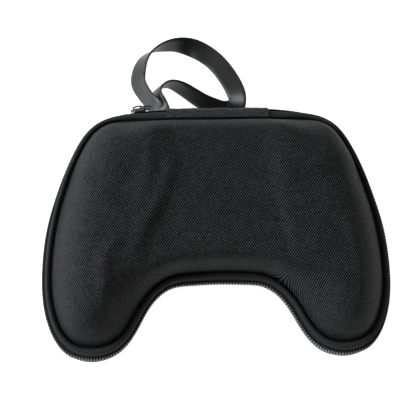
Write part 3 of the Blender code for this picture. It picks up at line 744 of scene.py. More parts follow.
@dataclass
class MouldedShell:
    """One moulded half: its domed skin, its wall and its sewn flange."""

    side: Side
    rim: RimLine
    height: float
    shoulder: Shoulder
    fall: Relief
    skin: Finish
    lining: Finish
    top_steps: int = 84
    side_steps: int = 104
    # How many fine steps a step of the first, rough patch holds.
    coarse: int = 8
    rough_rounds: int = 500
    fine_rounds: int = 260
    wall_depth: float = 0.0048
    wall_rings: int = 12
    wall_bunching: float = 1.8
    ease_over: float = 0.0045
    ease_rounds: int = 60
    # Points of the half outline where the skin's patch turns its corners.
    corners: tuple[int, int] = (3, 9)

    def wall_in(self, s: Array) -> Array:
        """How far the wall stands in from the zip line."""
        if self.side is Side.BASE:
            return np.full(len(s), WALL_SET_BACK)
        flare = (FLARE_SET_IN + FLARE_WELT) * self.rim.at(s)[2]
        return WALL_SET_BACK + flare + BACK_SET_IN * self.rim.broad(s)

    def stations(self) -> Array:
        """Distances round the rim whose rows meet at the patch's corners."""
        line = self.rim.points[:self.rim.samples // 2]
        first, second = (self.rim.along[np.linalg.norm(line - HALF_LINE[k], axis=1).argmin()]
                         for k in self.corners)
        middle = self.rim.length / 2
        right = np.concatenate([
            np.linspace(0.0, first, self.top_steps, endpoint=False),
            np.linspace(first, second, self.side_steps, endpoint=False),
            np.linspace(second, middle, self.top_steps, endpoint=False), [middle]])
        return np.concatenate([right, self.rim.length - right[-2:0:-1]])

    def rise(self, spots: Array, depth: Array) -> Array:
        """Share of the dome's height at depths from the wall, by flat spot."""
        reach, power, root = (value.reshape(-1, *[1] * (depth.ndim - 1))
                              for value in self.shoulder(*spots.T))
        return (1.0 - (1.0 - np.clip(depth / reach, 0.0, 1.0)) ** power) ** root

    def lift(self, spots: Array, depth: Array) -> Array:
        """World places of the skin over flat spots."""
        dome = self.height - self.fall(*spots.T) - BAND_HALF
        high = BAND_HALF + dome * self.rise(spots, depth)
        return np.column_stack([spots, PARTING_Z + self.side.value * high])

    def cloth_growth(self, spots: Array, depth: Array) -> Array:
        """Cloth used on the shoulder beyond the flat distance, at flat spots."""
        reach = self.shoulder(*spots.T)[0][:, None]
        spread = np.linspace(0, 1, 90) ** 2
        steps = depth[:, None] + np.maximum(reach - depth[:, None], 0.0) * spread
        flat = np.diff(steps, axis=1)
        up = (self.height - BAND_HALF) * np.diff(self.rise(spots, steps), axis=1)
        return (np.hypot(flat, up) - flat).sum(axis=1)

    @staticmethod
    def relax(places: Array, rounds: int) -> None:
        """Even out a patch's rows in place, with no fold."""
        middle = places[1:-1, 1:-1]
        for _ in range(rounds):
            across = (places[1:-1, 2:] - places[1:-1, :-2]) / 2
            down = (places[2:, 1:-1] - places[:-2, 1:-1]) / 2
            a = (down ** 2).sum(-1, keepdims=True)
            b = (across * down).sum(-1, keepdims=True)
            c = (across ** 2).sum(-1, keepdims=True)
            twist = (places[2:, 2:] - places[2:, :-2] - places[:-2, 2:] + places[:-2, :-2]) / 4
            middle[:] = (a * (places[1:-1, 2:] + places[1:-1, :-2])
                         + c * (places[2:, 1:-1] + places[:-2, 1:-1])
                         - 2 * b * twist) / (2 * (a + c))

    def patch(self, ring: Array) -> Array:
        """Fill a ring of spots with rows, first on a coarse grid and then on all.

        Args:
            ring: Flat spots in the order of the stations.

        Returns:
            Spots by row and column.
        """
        wide, deep = 2 * self.top_steps, self.side_steps
        loop = np.roll(ring, self.top_steps, axis=0)

        def frame_of(step: int) -> Array:
            rows, columns = deep // step, wide // step
            grid = np.zeros((rows + 1, columns + 1, 2))
            grid[0] = loop[:wide + 1:step]
            grid[:, -1] = loop[wide:wide + deep + 1:step]
            grid[-1] = loop[wide + deep:2 * wide + deep + 1:step][::-1]
            grid[:, 0] = np.vstack([loop[2 * wide + deep:], loop[:1]])[::step][::-1]
            return grid

        rough = frame_of(self.coarse)
        down = np.linspace(0.0, 1.0, len(rough))[1:-1, None, None]
        rough[1:-1, 1:-1] = rough[0, None, 1:-1] * (1 - down) + rough[-1, None, 1:-1] * down
        self.relax(rough, self.rough_rounds)
        fine = frame_of(1)
        rows, columns = np.arange(deep + 1) / self.coarse, np.arange(wide + 1) / self.coarse
        r = np.minimum(rows.astype(int), len(rough) - 2)
        c = np.minimum(columns.astype(int), rough.shape[1] - 2)
        fr, fc = (rows - r)[:, None, None], (columns - c)[None, :, None]
        spread = ((rough[r][:, c] * (1 - fc) + rough[r][:, c + 1] * fc) * (1 - fr)
                  + (rough[r + 1][:, c] * (1 - fc) + rough[r + 1][:, c + 1] * fc) * fr)
        fine[1:-1, 1:-1] = spread[1:-1, 1:-1]
        self.relax(fine, self.fine_rounds)
        return fine

    def build(self) -> Piece:
        """Model the shell, closed and with its lining inside, and finish it."""
        s = self.stations()
        point, way, _ = self.rim.at(s)
        foot = point - way * self.wall_in(s)[:, None]
        shares = np.linspace(1.0, 0.0, self.wall_rings + 1) ** self.wall_bunching
        depths = self.wall_depth * shares
        rings = [foot - way * depth for depth in depths]
        wide, deep = 2 * self.top_steps, self.side_steps
        obj, row, column = Bench.grid(f"{self.side.body}_shell_skin", wide, deep)
        row = deep - row
        spots = self.patch(rings[0])[row, column]
        depth, out = self.nearest(spots, foot)
        edge = (row == 0) | (row == deep) | (column == 0) | (column == wide)
        depth[edge] = depths[0]
        depth = self.ease(depth[:, None], depth, row, column)[:, 0]
        Bench.place(obj, self.lift(spots, depth))
        growth = out * self.cloth_growth(spots, depth)[:, None]
        cloth = [spots + self.ease(growth, depth, row, column)]
        start = rings[0]
        for ring, share in zip(rings[1:], depths[1:]):
            level = np.full(len(ring), share)
            flat = ring + way * self.cloth_growth(ring, level)[:, None]
            cloth.append(self.draw_out(obj, start, self.lift(ring, level), flat))
            start = ring
        flange = self.rim.spot(self.side, s, FLANGE_FACE, BAND_HALF)
        flat = flat + way * np.linalg.norm(flange[:, :2] - foot, axis=1)[:, None]
        cloth.append(self.draw_out(obj, start, flange, flat))
        Bench.uv(obj, np.vstack(cloth))
        self.thicken(obj)
        Bench.dress(obj, 50.0, self.skin, self.lining)
        Bench.hand_over(obj, self.side.body, f"{self.side.body}_shell", "shell_fabric")
        return obj

    def ease(self, values: Array, depth: Array, row: Array, column: Array) -> Array:
        """Even out values over the patch, more the farther they lie from the wall.

        Args:
            values: Numbers by vertex.
            depth: Distance from the wall at each vertex.
            row: The vertex's row in the patch.
            column: Its column.

        Returns:
            The eased numbers by vertex.
        """
        grid = np.zeros((self.side_steps + 1, 2 * self.top_steps + 1, values.shape[1]))
        share = np.zeros(grid.shape[:2] + (1,))
        grid[row, column] = values
        share[row, column, 0] = eased(depth, self.wall_depth, self.ease_over)
        for _ in range(self.ease_rounds):
            mean = (grid[1:-1, 2:] + grid[1:-1, :-2] + grid[2:, 1:-1] + grid[:-2, 1:-1]) / 4
            grid[1:-1, 1:-1] += (mean - grid[1:-1, 1:-1]) * share[1:-1, 1:-1]
        return grid[row, column]

    @staticmethod
    def nearest(spots: Array, wall: Array, batch: int = 2000) -> tuple[Array, Array]:
        """Distance from each spot to the wall's outline, and the way to it."""
        ahead = np.roll(wall, -1, axis=0) - wall
        square = (ahead ** 2).sum(1)
        depth, out = [], []
        for first in range(0, len(spots), batch):
            part = spots[first:first + batch]
            share = np.clip(((part[:, None] - wall) * ahead).sum(2) / square, 0.0, 1.0)
            gap = wall + share[..., None] * ahead - part[:, None]
            length = np.linalg.norm(gap, axis=2)
            best = (np.arange(len(part)), length.argmin(axis=1))
            depth.append(length[best])
            out.append(gap[best] / np.maximum(length[best], 1e-9)[:, None])
        return np.concatenate(depth), np.concatenate(out)

    @staticmethod
    def draw_out(obj: Piece, start: Array, places: Array, flat: Array) -> Array:
        """Extrude the open edge and lay the new row on places.

        Args:
            obj: The skin so far.
            start: Flat spots of the open edge, by station.
            places: Where the new row goes, by station.
            flat: The cloth's spots of the new row, by station.

        Returns:
            The cloth's spots of the new vertices, in their order.
        """
        before = len(obj.data.vertices)
        with Bench.editing(obj):
            bpy.ops.mesh.select_non_manifold(extend=False, use_wire=False, use_boundary=True,
                                             use_multi_face=False, use_non_contiguous=False,
                                             use_verts=False)
            bpy.ops.mesh.extrude_edges_move()
        co = Bench.places(obj)
        station = np.linalg.norm(co[before:, None, :2] - start, axis=2).argmin(axis=1)
        co[before:] = places[station]
        Bench.place(obj, co)
        return flat[station]

    def thicken(self, obj: bpy.types.Object) -> None:
        """Give the skin its foam and lining."""
        middle = min(obj.data.polygons, key=lambda p: p.center.xy.length)
        if middle.normal.z * self.side.value < 0:
            with Bench.editing(obj):
                bpy.ops.mesh.flip_normals()
        solid = obj.modifiers.new("foam", "SOLIDIFY")
        solid.thickness = SHELL_WALL
        solid.offset = -1.0
        solid.use_even_offset = True
        solid.use_quality_normals = True
        solid.material_offset = 1
        Bench.apply(obj)


@dataclass
class RolledWelt:
    """Rolled binding sewn along a shell's flange."""

    side: Side
    rim: RimLine
    finish: Finish
    pitch: float = 0.0011
    points: int = 14
    roundness: float = 0.95
    around: float = 0.0085
    ripples: tuple[Triple, ...] = ((0.02, 310.0, 0.0), (0.015, 720.0, 1.0))

    def build(self) -> Piece:
        """Sweep the welt's rounded section round the rim."""
        s = self.rim.loop(self.pitch)
        _, _, flare = self.rim.at(s)
        width, lean = np.full(len(s), WELT_WIDTH), self.rim.lean(self.side, flare)
        if self.side is Side.LID:
            broad = self.rim.broad(s)
            width += FLARE_WELT * flare + BACK_WELT * broad
            lean = lean + BACK_LEAN * broad
        width = width * (1.0 + ripple(s, self.ripples))
        angle = np.linspace(0.0, math.tau, self.points, endpoint=False)
        across, up = (np.sign(part) * np.abs(part) ** self.roundness
                      for part in (np.cos(angle), np.sin(angle)))
        inwards = TAPE_FACE + width[:, None] * (0.49 - 0.49 * across) + lean[:, None]
        high = BAND_HALF + SEAM_GAP + WELT_HEIGHT * (0.5 + 0.5 * up)
        places = self.rim.spot(self.side, s[:, None], inwards, high, leaning=False)
        obj = Bench.band(f"{self.side.body}_rolled_welt", places, np.append(s, self.rim.length),
                         np.linspace(0.0, self.around, self.points + 1), closed=True)
        Bench.dress(obj, 60.0, self.finish)
        Bench.hand_over(obj, self.side.body, f"{self.side.body}_welt", "welt_fabric")
        return obj


@dataclass
class ZipBand:
    """One half of the zip: its tape, its coil teeth and the inner binding."""

    side: Side
    rim: RimLine
    tape_finish: Finish
    coil_finish: Finish
    cord_finish: Finish
    pitch: float = 0.001575
    first_tooth: float = 0.0293
    tooth_root: float = 0.0029
    tooth_reach: float = 0.00035
    # Half length and half thickness of a tooth, and what its head adds.
    tooth_long: Pair = (0.00040, 0.00008)
    tooth_thick: Pair = (0.00052, 0.00010)
    # How square a tooth's length is, how soon it is full, and where its head bulges.
    tooth_square: float = 0.7
    tooth_full: float = 1.15
    tooth_head: Pair = (0.0002, 0.0007)
    tape_pitch: float = 0.0014
    tape_low: float = 0.0002
    notch_play: float = 0.0003
    notch_high: float = 0.0045
    core_depths: Pair = (0.00035, 0.00170)
    core_heights: Pair = (0.00045, 0.0021)
    core_chamfer: float = 0.0003
    binding_pitch: float = 0.0016
    binding_set_back: float = 0.0010
    binding_width: float = 0.0030
    binding_thickness: float = 0.0005

    def finish(self, obj: Piece, finish: Finish, degrees: float, part: str, slot: str) -> Piece:
        """Dress one of this half's pieces and hand it over."""
        Bench.dress(obj, degrees, finish)
        Bench.hand_over(obj, self.side.body, f"{self.side.body}_{part}", slot)
        return obj

    def build_tape(self) -> Piece:
        """Woven tape, notched behind the slider on the lid."""
        start, end = STRIP_HALF - TUCK, self.rim.length - STRIP_HALF + TUCK
        s = np.linspace(start, end, int((end - start) / self.tape_pitch))
        low = np.full(len(s), self.tape_low)
        if self.side is Side.LID:
            reach, step = SLIDER_LENGTH / 2 + self.notch_play, 0.0002
            corners = self.rim.slider_at + np.array([-reach - step, -reach, reach, reach + step])
            s = np.sort(np.concatenate([s, corners]))
            inside = (s >= corners[1] - 1e-9) & (s <= corners[2] + 1e-9)
            low = np.where(inside, self.notch_high, self.tape_low)
        shares = np.linspace(0.0, 1.0, 5)
        high = low[:, None] + (BAND_HALF - low[:, None]) * shares
        deep = np.full_like(high, TAPE_FACE)
        heights = np.concatenate([high, high[:, ::-1]], axis=1)
        depths = np.concatenate([deep, deep + TAPE_THICKNESS], axis=1)
        places = self.rim.spot(self.side, s[:, None], depths, heights)
        widths = np.concatenate([shares, 1.0 + shares, [2.1]]) * BAND_HALF
        obj = Bench.band(f"{self.side.body}_woven_tape", places, s, widths)
        return self.finish(obj, self.tape_finish, 40.0, "zip_tape", "zip_tape")

    def tooth(self) -> tuple[Array, list[list[int]]]:
        """Points of one tooth, as distance along, inwards and height, and its faces."""
        obj = Bench.primitive("tooth", bpy.ops.mesh.primitive_uv_sphere_add, segments=8,
                              ring_count=7, radius=1.0)
        co = Bench.places(obj)
        faces = [list(p.vertices) for p in obj.data.polygons]
        bpy.data.objects.remove(obj, do_unlink=True)
        level = 0.5 - 0.5 * np.sign(co[:, 2]) * np.abs(co[:, 2]) ** self.tooth_square
        height = -self.tooth_reach + (self.tooth_root + self.tooth_reach) * level
        ring = np.hypot(co[:, 0], co[:, 1])
        pole, (head_at, head_over) = 0.02, self.tooth_head
        full = np.minimum(ring * self.tooth_full, 1.0) / np.maximum(ring, pole) * (ring > pole)
        head = np.exp(-((height - head_at) / head_over) ** 2)
        along, thick = (co[:, k] * full * (size + more * head)
                        for k, (size, more) in enumerate((self.tooth_long, self.tooth_thick)))
        return np.column_stack([along, COIL_THICKNESS / 2 + thick, height]), faces

    def build_coil(self) -> Piece:
        """All the teeth of this half and the cord in them, as one piece."""
        start = self.first_tooth
        end = self.rim.length - STRIP_HALF - SEAM_GAP - self.pitch
        phase = 0.0
        if self.side is Side.LID:
            end = self.rim.slider_at - SLIDER_LENGTH / 2 - self.notch_play - self.pitch
            phase = 0.5
        count = int((end - start) / self.pitch)
        local, faces = self.tooth()
        centres = start + (np.arange(count) + 0.5 + phase) * self.pitch
        deep = local[:, 1] - self.rim.proud(centres)[:, None]
        places = self.rim.spot(self.side, centres[:, None] + local[:, 0], deep, local[:, 2])
        mesh = bpy.data.meshes.new(f"{self.side.body}_coil_teeth")
        mesh.from_pydata(places.reshape(-1, 3).tolist(), [],
                         [[k + i * len(local) for k in face] for i in range(count)
                          for face in faces])
        obj = Bench.add(mesh.name, mesh)
        Bench.close(obj)
        Bench.dress(obj, 80.0, self.coil_finish)
        core = self.build_core(start, end)
        Bench.pick(obj)
        core.select_set(True)
        bpy.ops.object.join()
        Bench.hand_over(obj, self.side.body, f"{self.side.body}_zip_coil", "zip_coil")
        return obj

    def build_core(self, start: float, end: float) -> Piece:
        """Dark core cord that the coil is wound on, between two distances."""
        s = np.linspace(start, end, int((end - start) / self.tape_pitch))
        near, far = self.core_depths
        low, high = self.core_heights
        ring = np.array([(near, low), (far, low), (far, high), ((near + far) / 2, high),
                         (near, high - self.core_chamfer)])
        deep = ring[:, 0] - self.rim.proud(s)[:, None] * (ring[:, 0] < far)
        places = self.rim.spot(self.side, s[:, None], deep, ring[:, 1])
        obj = Bench.band(f"{self.side.body}_coil_core", places, s,
                         np.linspace(0.0, 0.006, len(ring) + 1))
        Bench.dress(obj, 40.0, self.cord_finish)
        return obj

    def build_binding(self) -> Piece:
        """Flat binding over the raw edge inside the rim."""
        s = self.rim.loop(self.binding_pitch)
        across, down = np.array([(0.0, 0.0), (0.5, 0.0), (1.0, 0.0),
                                 (1.0, 1.0), (0.5, 1.0), (0.0, 1.0)]).T
        lean = self.rim.lean(self.side, self.rim.at(s)[2])[:, None]
        deep = FLANGE_FACE + self.binding_set_back + across * self.binding_width + lean
        places = self.rim.spot(self.side, s[:, None], deep,
                               BINDING_HIGH - down * self.binding_thickness, leaning=False)
        obj = Bench.band(f"{self.side.body}_edge_binding", places, np.append(s, self.rim.length),
                         np.linspace(0.0, 0.007, len(across) + 1), closed=True)
        return self.finish(obj, self.tape_finish, 40.0, "inner_binding", "zip_tape")


@dataclass
class FabricHinge:
    """Woven strip over both welts at the back, and its lining inside."""

    strip_finish: Finish
    lining_finish: Finish
    thickness: float = 0.0007
    lap: float = 0.0022
    lid_lap: float = 0.0038
    left_end: float = -0.0253
    right_end: float = 0.0288
    stations: int = 54
    hem: float = 0.00022
    ripples: tuple[Triple, ...] = ((0.00010, 420.0, 0.0), (0.00006, 1130.0, 1.0))
    # Outer half of the strip's section: in from the coil's face, with the fall
    # from its crest, and then with the share of the crest's height.
    over_welt: tuple[Pair, ...] = ((0.0014, 0.0), (0.0006, 0.0001), (0.0001, 0.0006),
                                   (0.0, 0.0014))
    slack: tuple[Pair, ...] = ((-0.0003, 0.72), (-0.0006, 0.55), (0.0003, 0.36), (0.0003, 0.16))
    # Where the strip starts to lean with the lid's welt, and over what height.
    lean_rise: Pair = (0.0030, 0.0065)
    bend_half: float = 0.004
    lining_thickness: float = 0.0005

    def hand_over(self, obj: Piece, finish: Finish, node: str, slot: str) -> Piece:
        """Dress a piece of the hinge and bake its place into its mesh."""
        Bench.dress(obj, 50.0, finish)
        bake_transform(obj)
        Bench.hand_over(obj, "", node, slot)
        return obj

    def build_strip(self) -> Piece:
        """The outer strip, soft over the welts and slack between them."""
        crest = BAND_HALF + SEAM_GAP + WELT_HEIGHT + SEAM_GAP
        face = COIL_THICKNESS
        inner = ([(face + a, crest - fall) for a, fall in self.over_welt]
                 + [(face + a, crest * share) for a, share in self.slack])
        at, _ = spline([(face + self.lid_lap, crest), (face + self.lap, crest), *inner,
                        *[(a, -h) for a, h in inner[::-1]], (face + self.lap, -crest)],
                       closed=False)
        line = at(np.linspace(0.0, 1.0, 37))
        line[:, 0] += BACK_LEAN * eased(line[:, 1], *self.lean_rise)
        way = unit(np.gradient(line, axis=0))
        away = np.column_stack([way[:, 1], -way[:, 0]])
        sections = []
        xs = np.linspace(self.left_end, self.right_end, self.stations)
        for k, x in enumerate(xs):
            hem = self.hem if k in (0, self.stations - 1) else 0.0
            outer = self.thickness - hem + ripple(x, self.ripples)
            ring = np.vstack([line + away * hem, (line + away * outer)[::-1]])
            sections.append([(x, HINGE_EDGE_Y - a, PARTING_Z + h) for a, h in ring])
        ring = np.array(sections[1])
        obj = Bench.band("hinge_cover_strip", np.array(sections), xs,
                         distances(np.vstack([ring, ring[:1]])))
        return self.hand_over(obj, self.strip_finish, "hinge_strip", "strip_fabric")

    def build_lining(self) -> Piece:
        """The inner strip, from one flange to the other."""
        outer = HINGE_EDGE_Y - FLANGE_FACE
        heights = np.linspace(-BINDING_HIGH, BINDING_HIGH, 15)
        ring = ([(outer, h) for h in heights]
                + [(outer - self.lining_thickness, h) for h in heights[::-1]])
        xs = np.linspace(-STRIP_HALF, STRIP_HALF, 24)
        sections = np.array([[(x, y, PARTING_Z + h) for y, h in ring] for x in xs])
        obj = Bench.band("hinge_inner_lining", sections, xs,
                         np.concatenate([heights, 0.02 + heights, [0.03]]))
        return self.hand_over(obj, self.lining_finish, "hinge_lining", "zip_tape")


@dataclass
class ZipSlider:
    """The cast slider and its ring pull."""

    rim: RimLine
    body_finish: Finish
    ring_finish: Finish
    clearance: float = 0.0004
    plate: float = 0.0009
    half_outer: float = 0.0042
    half_inner: float = 0.0034
    corner: float = 0.0018
    lip: float = 0.0008
    lip_depth: float = 0.0009
    lip_sunk: float = 0.00025
    post_long: float = 0.0014
    post_high: float = 0.0012
    post_up: float = 0.0015
    plate_edge: float = 0.00022
    small_edge: float = 0.00015
    crown_length: float = 0.0060
    crown_bar: float = 0.0009
    # Knots of the crown's arch as shares of its half length and height.
    crown_knee: Pair = (0.92, 0.80)
    crown_flat: float = 0.55
    crown_stretch: float = 1.5
    ring_wire: float = 0.00085
    ring_radius: float = 0.0031
    play: float = 0.0002

    def matrix(self) -> Matrix:
        """Place of the slider: X along the zip, Y outward, Z up."""
        point, way, _ = self.rim.at(np.array([self.rim.slider_at]))
        (px, py), (wx, wy) = point[0], way[0]
        turn = Matrix(((wy, wx, 0.0), (-wx, wy, 0.0), (0.0, 0.0, 1.0)))
        return Matrix.Translation((px, py, PARTING_Z)) @ turn.to_4x4()

    @property
    def face(self) -> float:
        """Outer face of the outer plate."""
        return self.clearance + self.plate

    @property
    def rise(self) -> float:
        """Room under the crown."""
        return self.ring_wire + 2 * self.play

    def block(self, name: str, size: Triple, centre: Triple, round_by: float,
              crisp: float) -> Piece:
        """A box with its corners rounded and all its edges eased.

        Args:
            name: The block's name.
            size: Its length, thickness and height.
            centre: Its middle in the slider's own frame.
            round_by: Radius of the corners seen face on.
            crisp: Width of the small bevel on every edge.

        Returns:
            The block, in the slider's own frame.
        """
        obj = Bench.primitive(name, bpy.ops.mesh.primitive_cube_add, size=1.0)
        obj.data.transform(Matrix.Translation(centre) @ Matrix.Diagonal((*size, 1.0)))
        if round_by:
            bm = bmesh.new()
            bm.from_mesh(obj.data)
            through = [e for e in bm.edges
                       if abs((e.verts[0].co - e.verts[1].co).normalized().y) > 0.9]
            bmesh.ops.bevel(bm, geom=through, offset=round_by, segments=6, affect="EDGES",
                            profile=0.5)
            bm.to_mesh(obj.data)
            bm.free()
        soften = obj.modifiers.new("edges", "BEVEL")
        soften.width = crisp
        soften.segments = 3
        soften.limit_method = "ANGLE"
        soften.angle_limit = math.radians(40.0)
        Bench.apply(obj)
        return obj

    def crown(self) -> Piece:
        """Arched bar that the ring hangs in."""
        half = self.crown_length / 2
        high = self.face + self.rise + self.crown_bar / 2
        low = self.face - self.plate / 2
        curve = bpy.data.curves.new("crown", "CURVE")
        curve.dimensions = "3D"
        line = curve.splines.new("BEZIER")
        side = [(half, low), (half * self.crown_knee[0], high * self.crown_knee[1]),
                (half * self.crown_flat, high)]
        points = [(-x, y) for x, y in side] + side[::-1]
        line.bezier_points.add(len(points) - 1)
        for knot, (x, y) in zip(line.bezier_points, points):
            knot.co = (x, y, 0.0)
            knot.handle_left_type = knot.handle_right_type = "AUTO"
        curve.bevel_depth = self.crown_bar / 2
        curve.bevel_resolution = 4
        curve.resolution_u = 5
        curve.use_fill_caps = True
        Bench.pick(Bench.add("crown_bar", curve))
        bpy.ops.object.convert(target="MESH")
        obj = bpy.context.object
        obj.data.transform(Matrix.Diagonal((1.0, 1.0, self.crown_stretch, 1.0)))
        Bench.close(obj)
        return obj

    def build_body(self) -> Piece:
        """Plates, side lips, post and crown as one casting."""
        post_out, post_in = self.clearance + self.plate / 2, -FLANGE_FACE - self.plate / 2
        outer, *others = (
            self.block(name, (SLIDER_LENGTH, self.plate, 2 * half), (0.0, y, 0.0), self.corner,
                       self.plate_edge)
            for name, half, y in (("slider_casting", self.half_outer, post_out),
                                  ("inner_plate", self.half_inner, post_in)))
        lip_y = (self.clearance - self.lip_depth) / 2 + self.lip_sunk
        for name, sign in (("lip_down", -1), ("lip_up", 1)):
            others.append(self.block(
                name, (SLIDER_LENGTH - 2 * self.corner, self.lip_depth + self.clearance, self.lip),
                (0.0, lip_y, sign * (self.half_outer - self.lip / 2)), 0.0, self.small_edge))
        others.append(self.block(
            "post", (self.post_long, post_out - post_in, self.post_high),
            (SLIDER_LENGTH / 2 - self.post_long, (post_out + post_in) / 2, self.post_up),
            0.0, self.small_edge))
        others.append(self.crown())
        for other in others:
            join = outer.modifiers.new("join", "BOOLEAN")
            join.operation = "UNION"
            join.solver = "EXACT"
            join.object = other
            Bench.apply(outer)
            bpy.data.objects.remove(other, do_unlink=True)
        outer.data.transform(self.matrix())
        Bench.dress(outer, 35.0, self.body_finish)
        Bench.hand_over(outer, "slider", "slider_body", "metal")
        return outer

    def build_ring(self) -> Piece:
        """Wire ring threaded under the crown."""
        obj = Bench.primitive("ring_pull", bpy.ops.mesh.primitive_torus_add,
                              major_radius=self.ring_radius, minor_radius=self.ring_wire / 2,
                              major_segments=56, minor_segments=14)
        pivot = (self.crown_length / 2 - self.crown_bar - self.rise, self.face + self.rise / 2,
                 0.0)
        obj.data.transform(self.matrix() @ Matrix.Translation(pivot)
                           @ Matrix.Translation((self.ring_radius, 0.0, 0.0))
                           @ Matrix.Rotation(math.pi / 2, 4, "X"))
        Bench.dress(obj, 60.0, self.ring_finish)
        Bench.hand_over(obj, "ring", "pull_ring", "metal")
        return obj


@dataclass
class WristStrap:
    """Flat webbing loop, both ends sewn in beside the hinge."""

    finish: Finish
    width: float = 0.0108
    thickness: float = 0.0011
    stations: int = 260
    # How many stations the turn of the width is evened out over.
    even_over: int = 9
    # Points of the middle line in millimetres, each with the way the width points.
    route: tuple[tuple[float, ...], ...] = (
        (-28.5, 64.0, 20.6, 1.00, 0.02, 0.06), (-28.7, 67.6, 20.5, 0.95, -0.02, 0.30),
        (-29.7, 69.5, 20.3, 0.73, 0.12, 0.67), (-31.9, 72.7, 18.6, 0.52, 0.29, 0.80),
        (-34.4, 76.8, 15.6, 0.45, 0.27, 0.85), (-37.4, 82.6, 11.5, 0.55, 0.20, 0.81),
        (-39.3, 88.5, 8.2, 0.69, -0.07, 0.72), (-39.0, 93.9, 6.6, 0.66, -0.24, 0.71),
        (-37.6, 98.8, 6.2, 0.50, -0.37, 0.78), (-34.8, 103.3, 6.2, 0.25, -0.34, 0.91),
        (-29.8, 107.0, 6.2, -0.04, -0.13, 0.99), (-24.2, 108.9, 6.2, -0.15, 0.22, 0.96),
        (-17.7, 109.8, 6.2, -0.03, 0.48, 0.88), (-11.1, 109.0, 5.6, 0.13, 0.78, 0.62),
        (-4.3, 106.4, 5.2, 0.40, 0.90, 0.15), (1.9, 102.0, 5.6, 0.61, 0.78, 0.15),
        (7.2, 95.9, 7.2, 0.75, 0.65, 0.14), (11.7, 88.5, 9.0, 0.84, 0.53, 0.13),
        (14.6, 81.8, 10.6, 0.88, 0.39, 0.27), (15.6, 76.4, 11.2, 0.82, 0.16, 0.56),
        (14.3, 72.9, 8.8, 0.75, 0.17, 0.64), (9.9, 72.4, 4.6, 0.66, 0.45, 0.60),
        (3.8, 74.1, 4.2, 0.54, 0.60, 0.59), (-3.0, 77.1, 4.8, 0.44, 0.54, 0.72),
        (-10.2, 81.7, 5.6, 0.38, 0.47, 0.80), (-16.3, 85.3, 6.8, 0.29, 0.39, 0.87),
        (-21.2, 86.7, 8.6, 0.07, 0.19, 0.98), (-25.5, 85.5, 10.6, -0.04, -0.08, 1.00),
        (-28.6, 82.6, 12.8, 0.20, -0.20, 0.96), (-29.7, 78.4, 15.6, 0.43, -0.15, 0.89),
        (-28.9, 73.9, 18.6, 0.56, 0.00, 0.83), (-27.6, 69.7, 21.6, 0.72, -0.01, 0.69),
        (-27.2, 67.3, 21.9, 0.95, -0.02, 0.30), (-28.0, 64.0, 22.2, 1.00, 0.02, 0.04),
    )

    def ring(self) -> Array:
        """Section of the webbing, with rounded edges."""
        a, b = self.width / 2, self.thickness / 2
        edge = b * 0.8
        half = np.array([(edge - a, -b), (-a * 0.6, -b), (0.0, -b), (a * 0.6, -b), (a - edge, -b),
                         (a - edge * 0.3, -b * 0.7), (a, 0.0), (a - edge * 0.3, b * 0.7)])
        return np.vstack([half, -half])

    def build(self) -> Piece:
        """Lay the webbing along its route."""
        route = np.array(self.route)
        line = route[:, :3] * MM
        at, knots = spline(line, closed=False)
        u = np.linspace(0.0, 1.0, self.stations)
        middle = at(u)
        ahead = unit(np.gradient(middle, axis=0))
        box = np.ones(self.even_over) / self.even_over
        way = np.column_stack([
            np.convolve(np.pad(np.interp(u, knots, part), self.even_over // 2, mode="edge"), box,
                        "valid") for part in route[:, 3:].T])
        way = unit(way - ahead * (way * ahead).sum(1)[:, None])
        ring = self.ring()
        sections = (middle[:, None] + way[:, None] * ring[None, :, :1]
                    + np.cross(ahead, way)[:, None] * ring[None, :, 1:])
        along = distances(middle)
        obj = Bench.band("wrist_webbing", sections, along,
                         distances(np.vstack([ring, ring[:1]])))
        Bench.dress(obj, 60.0, self.finish)
        Bench.hand_over(obj, "base", "wrist_strap", "webbing")
        [tuple(p) for p in middle]
        LOG.info("%s: %.0f mm long", obj.name, along[-1] * 1000)
        return obj


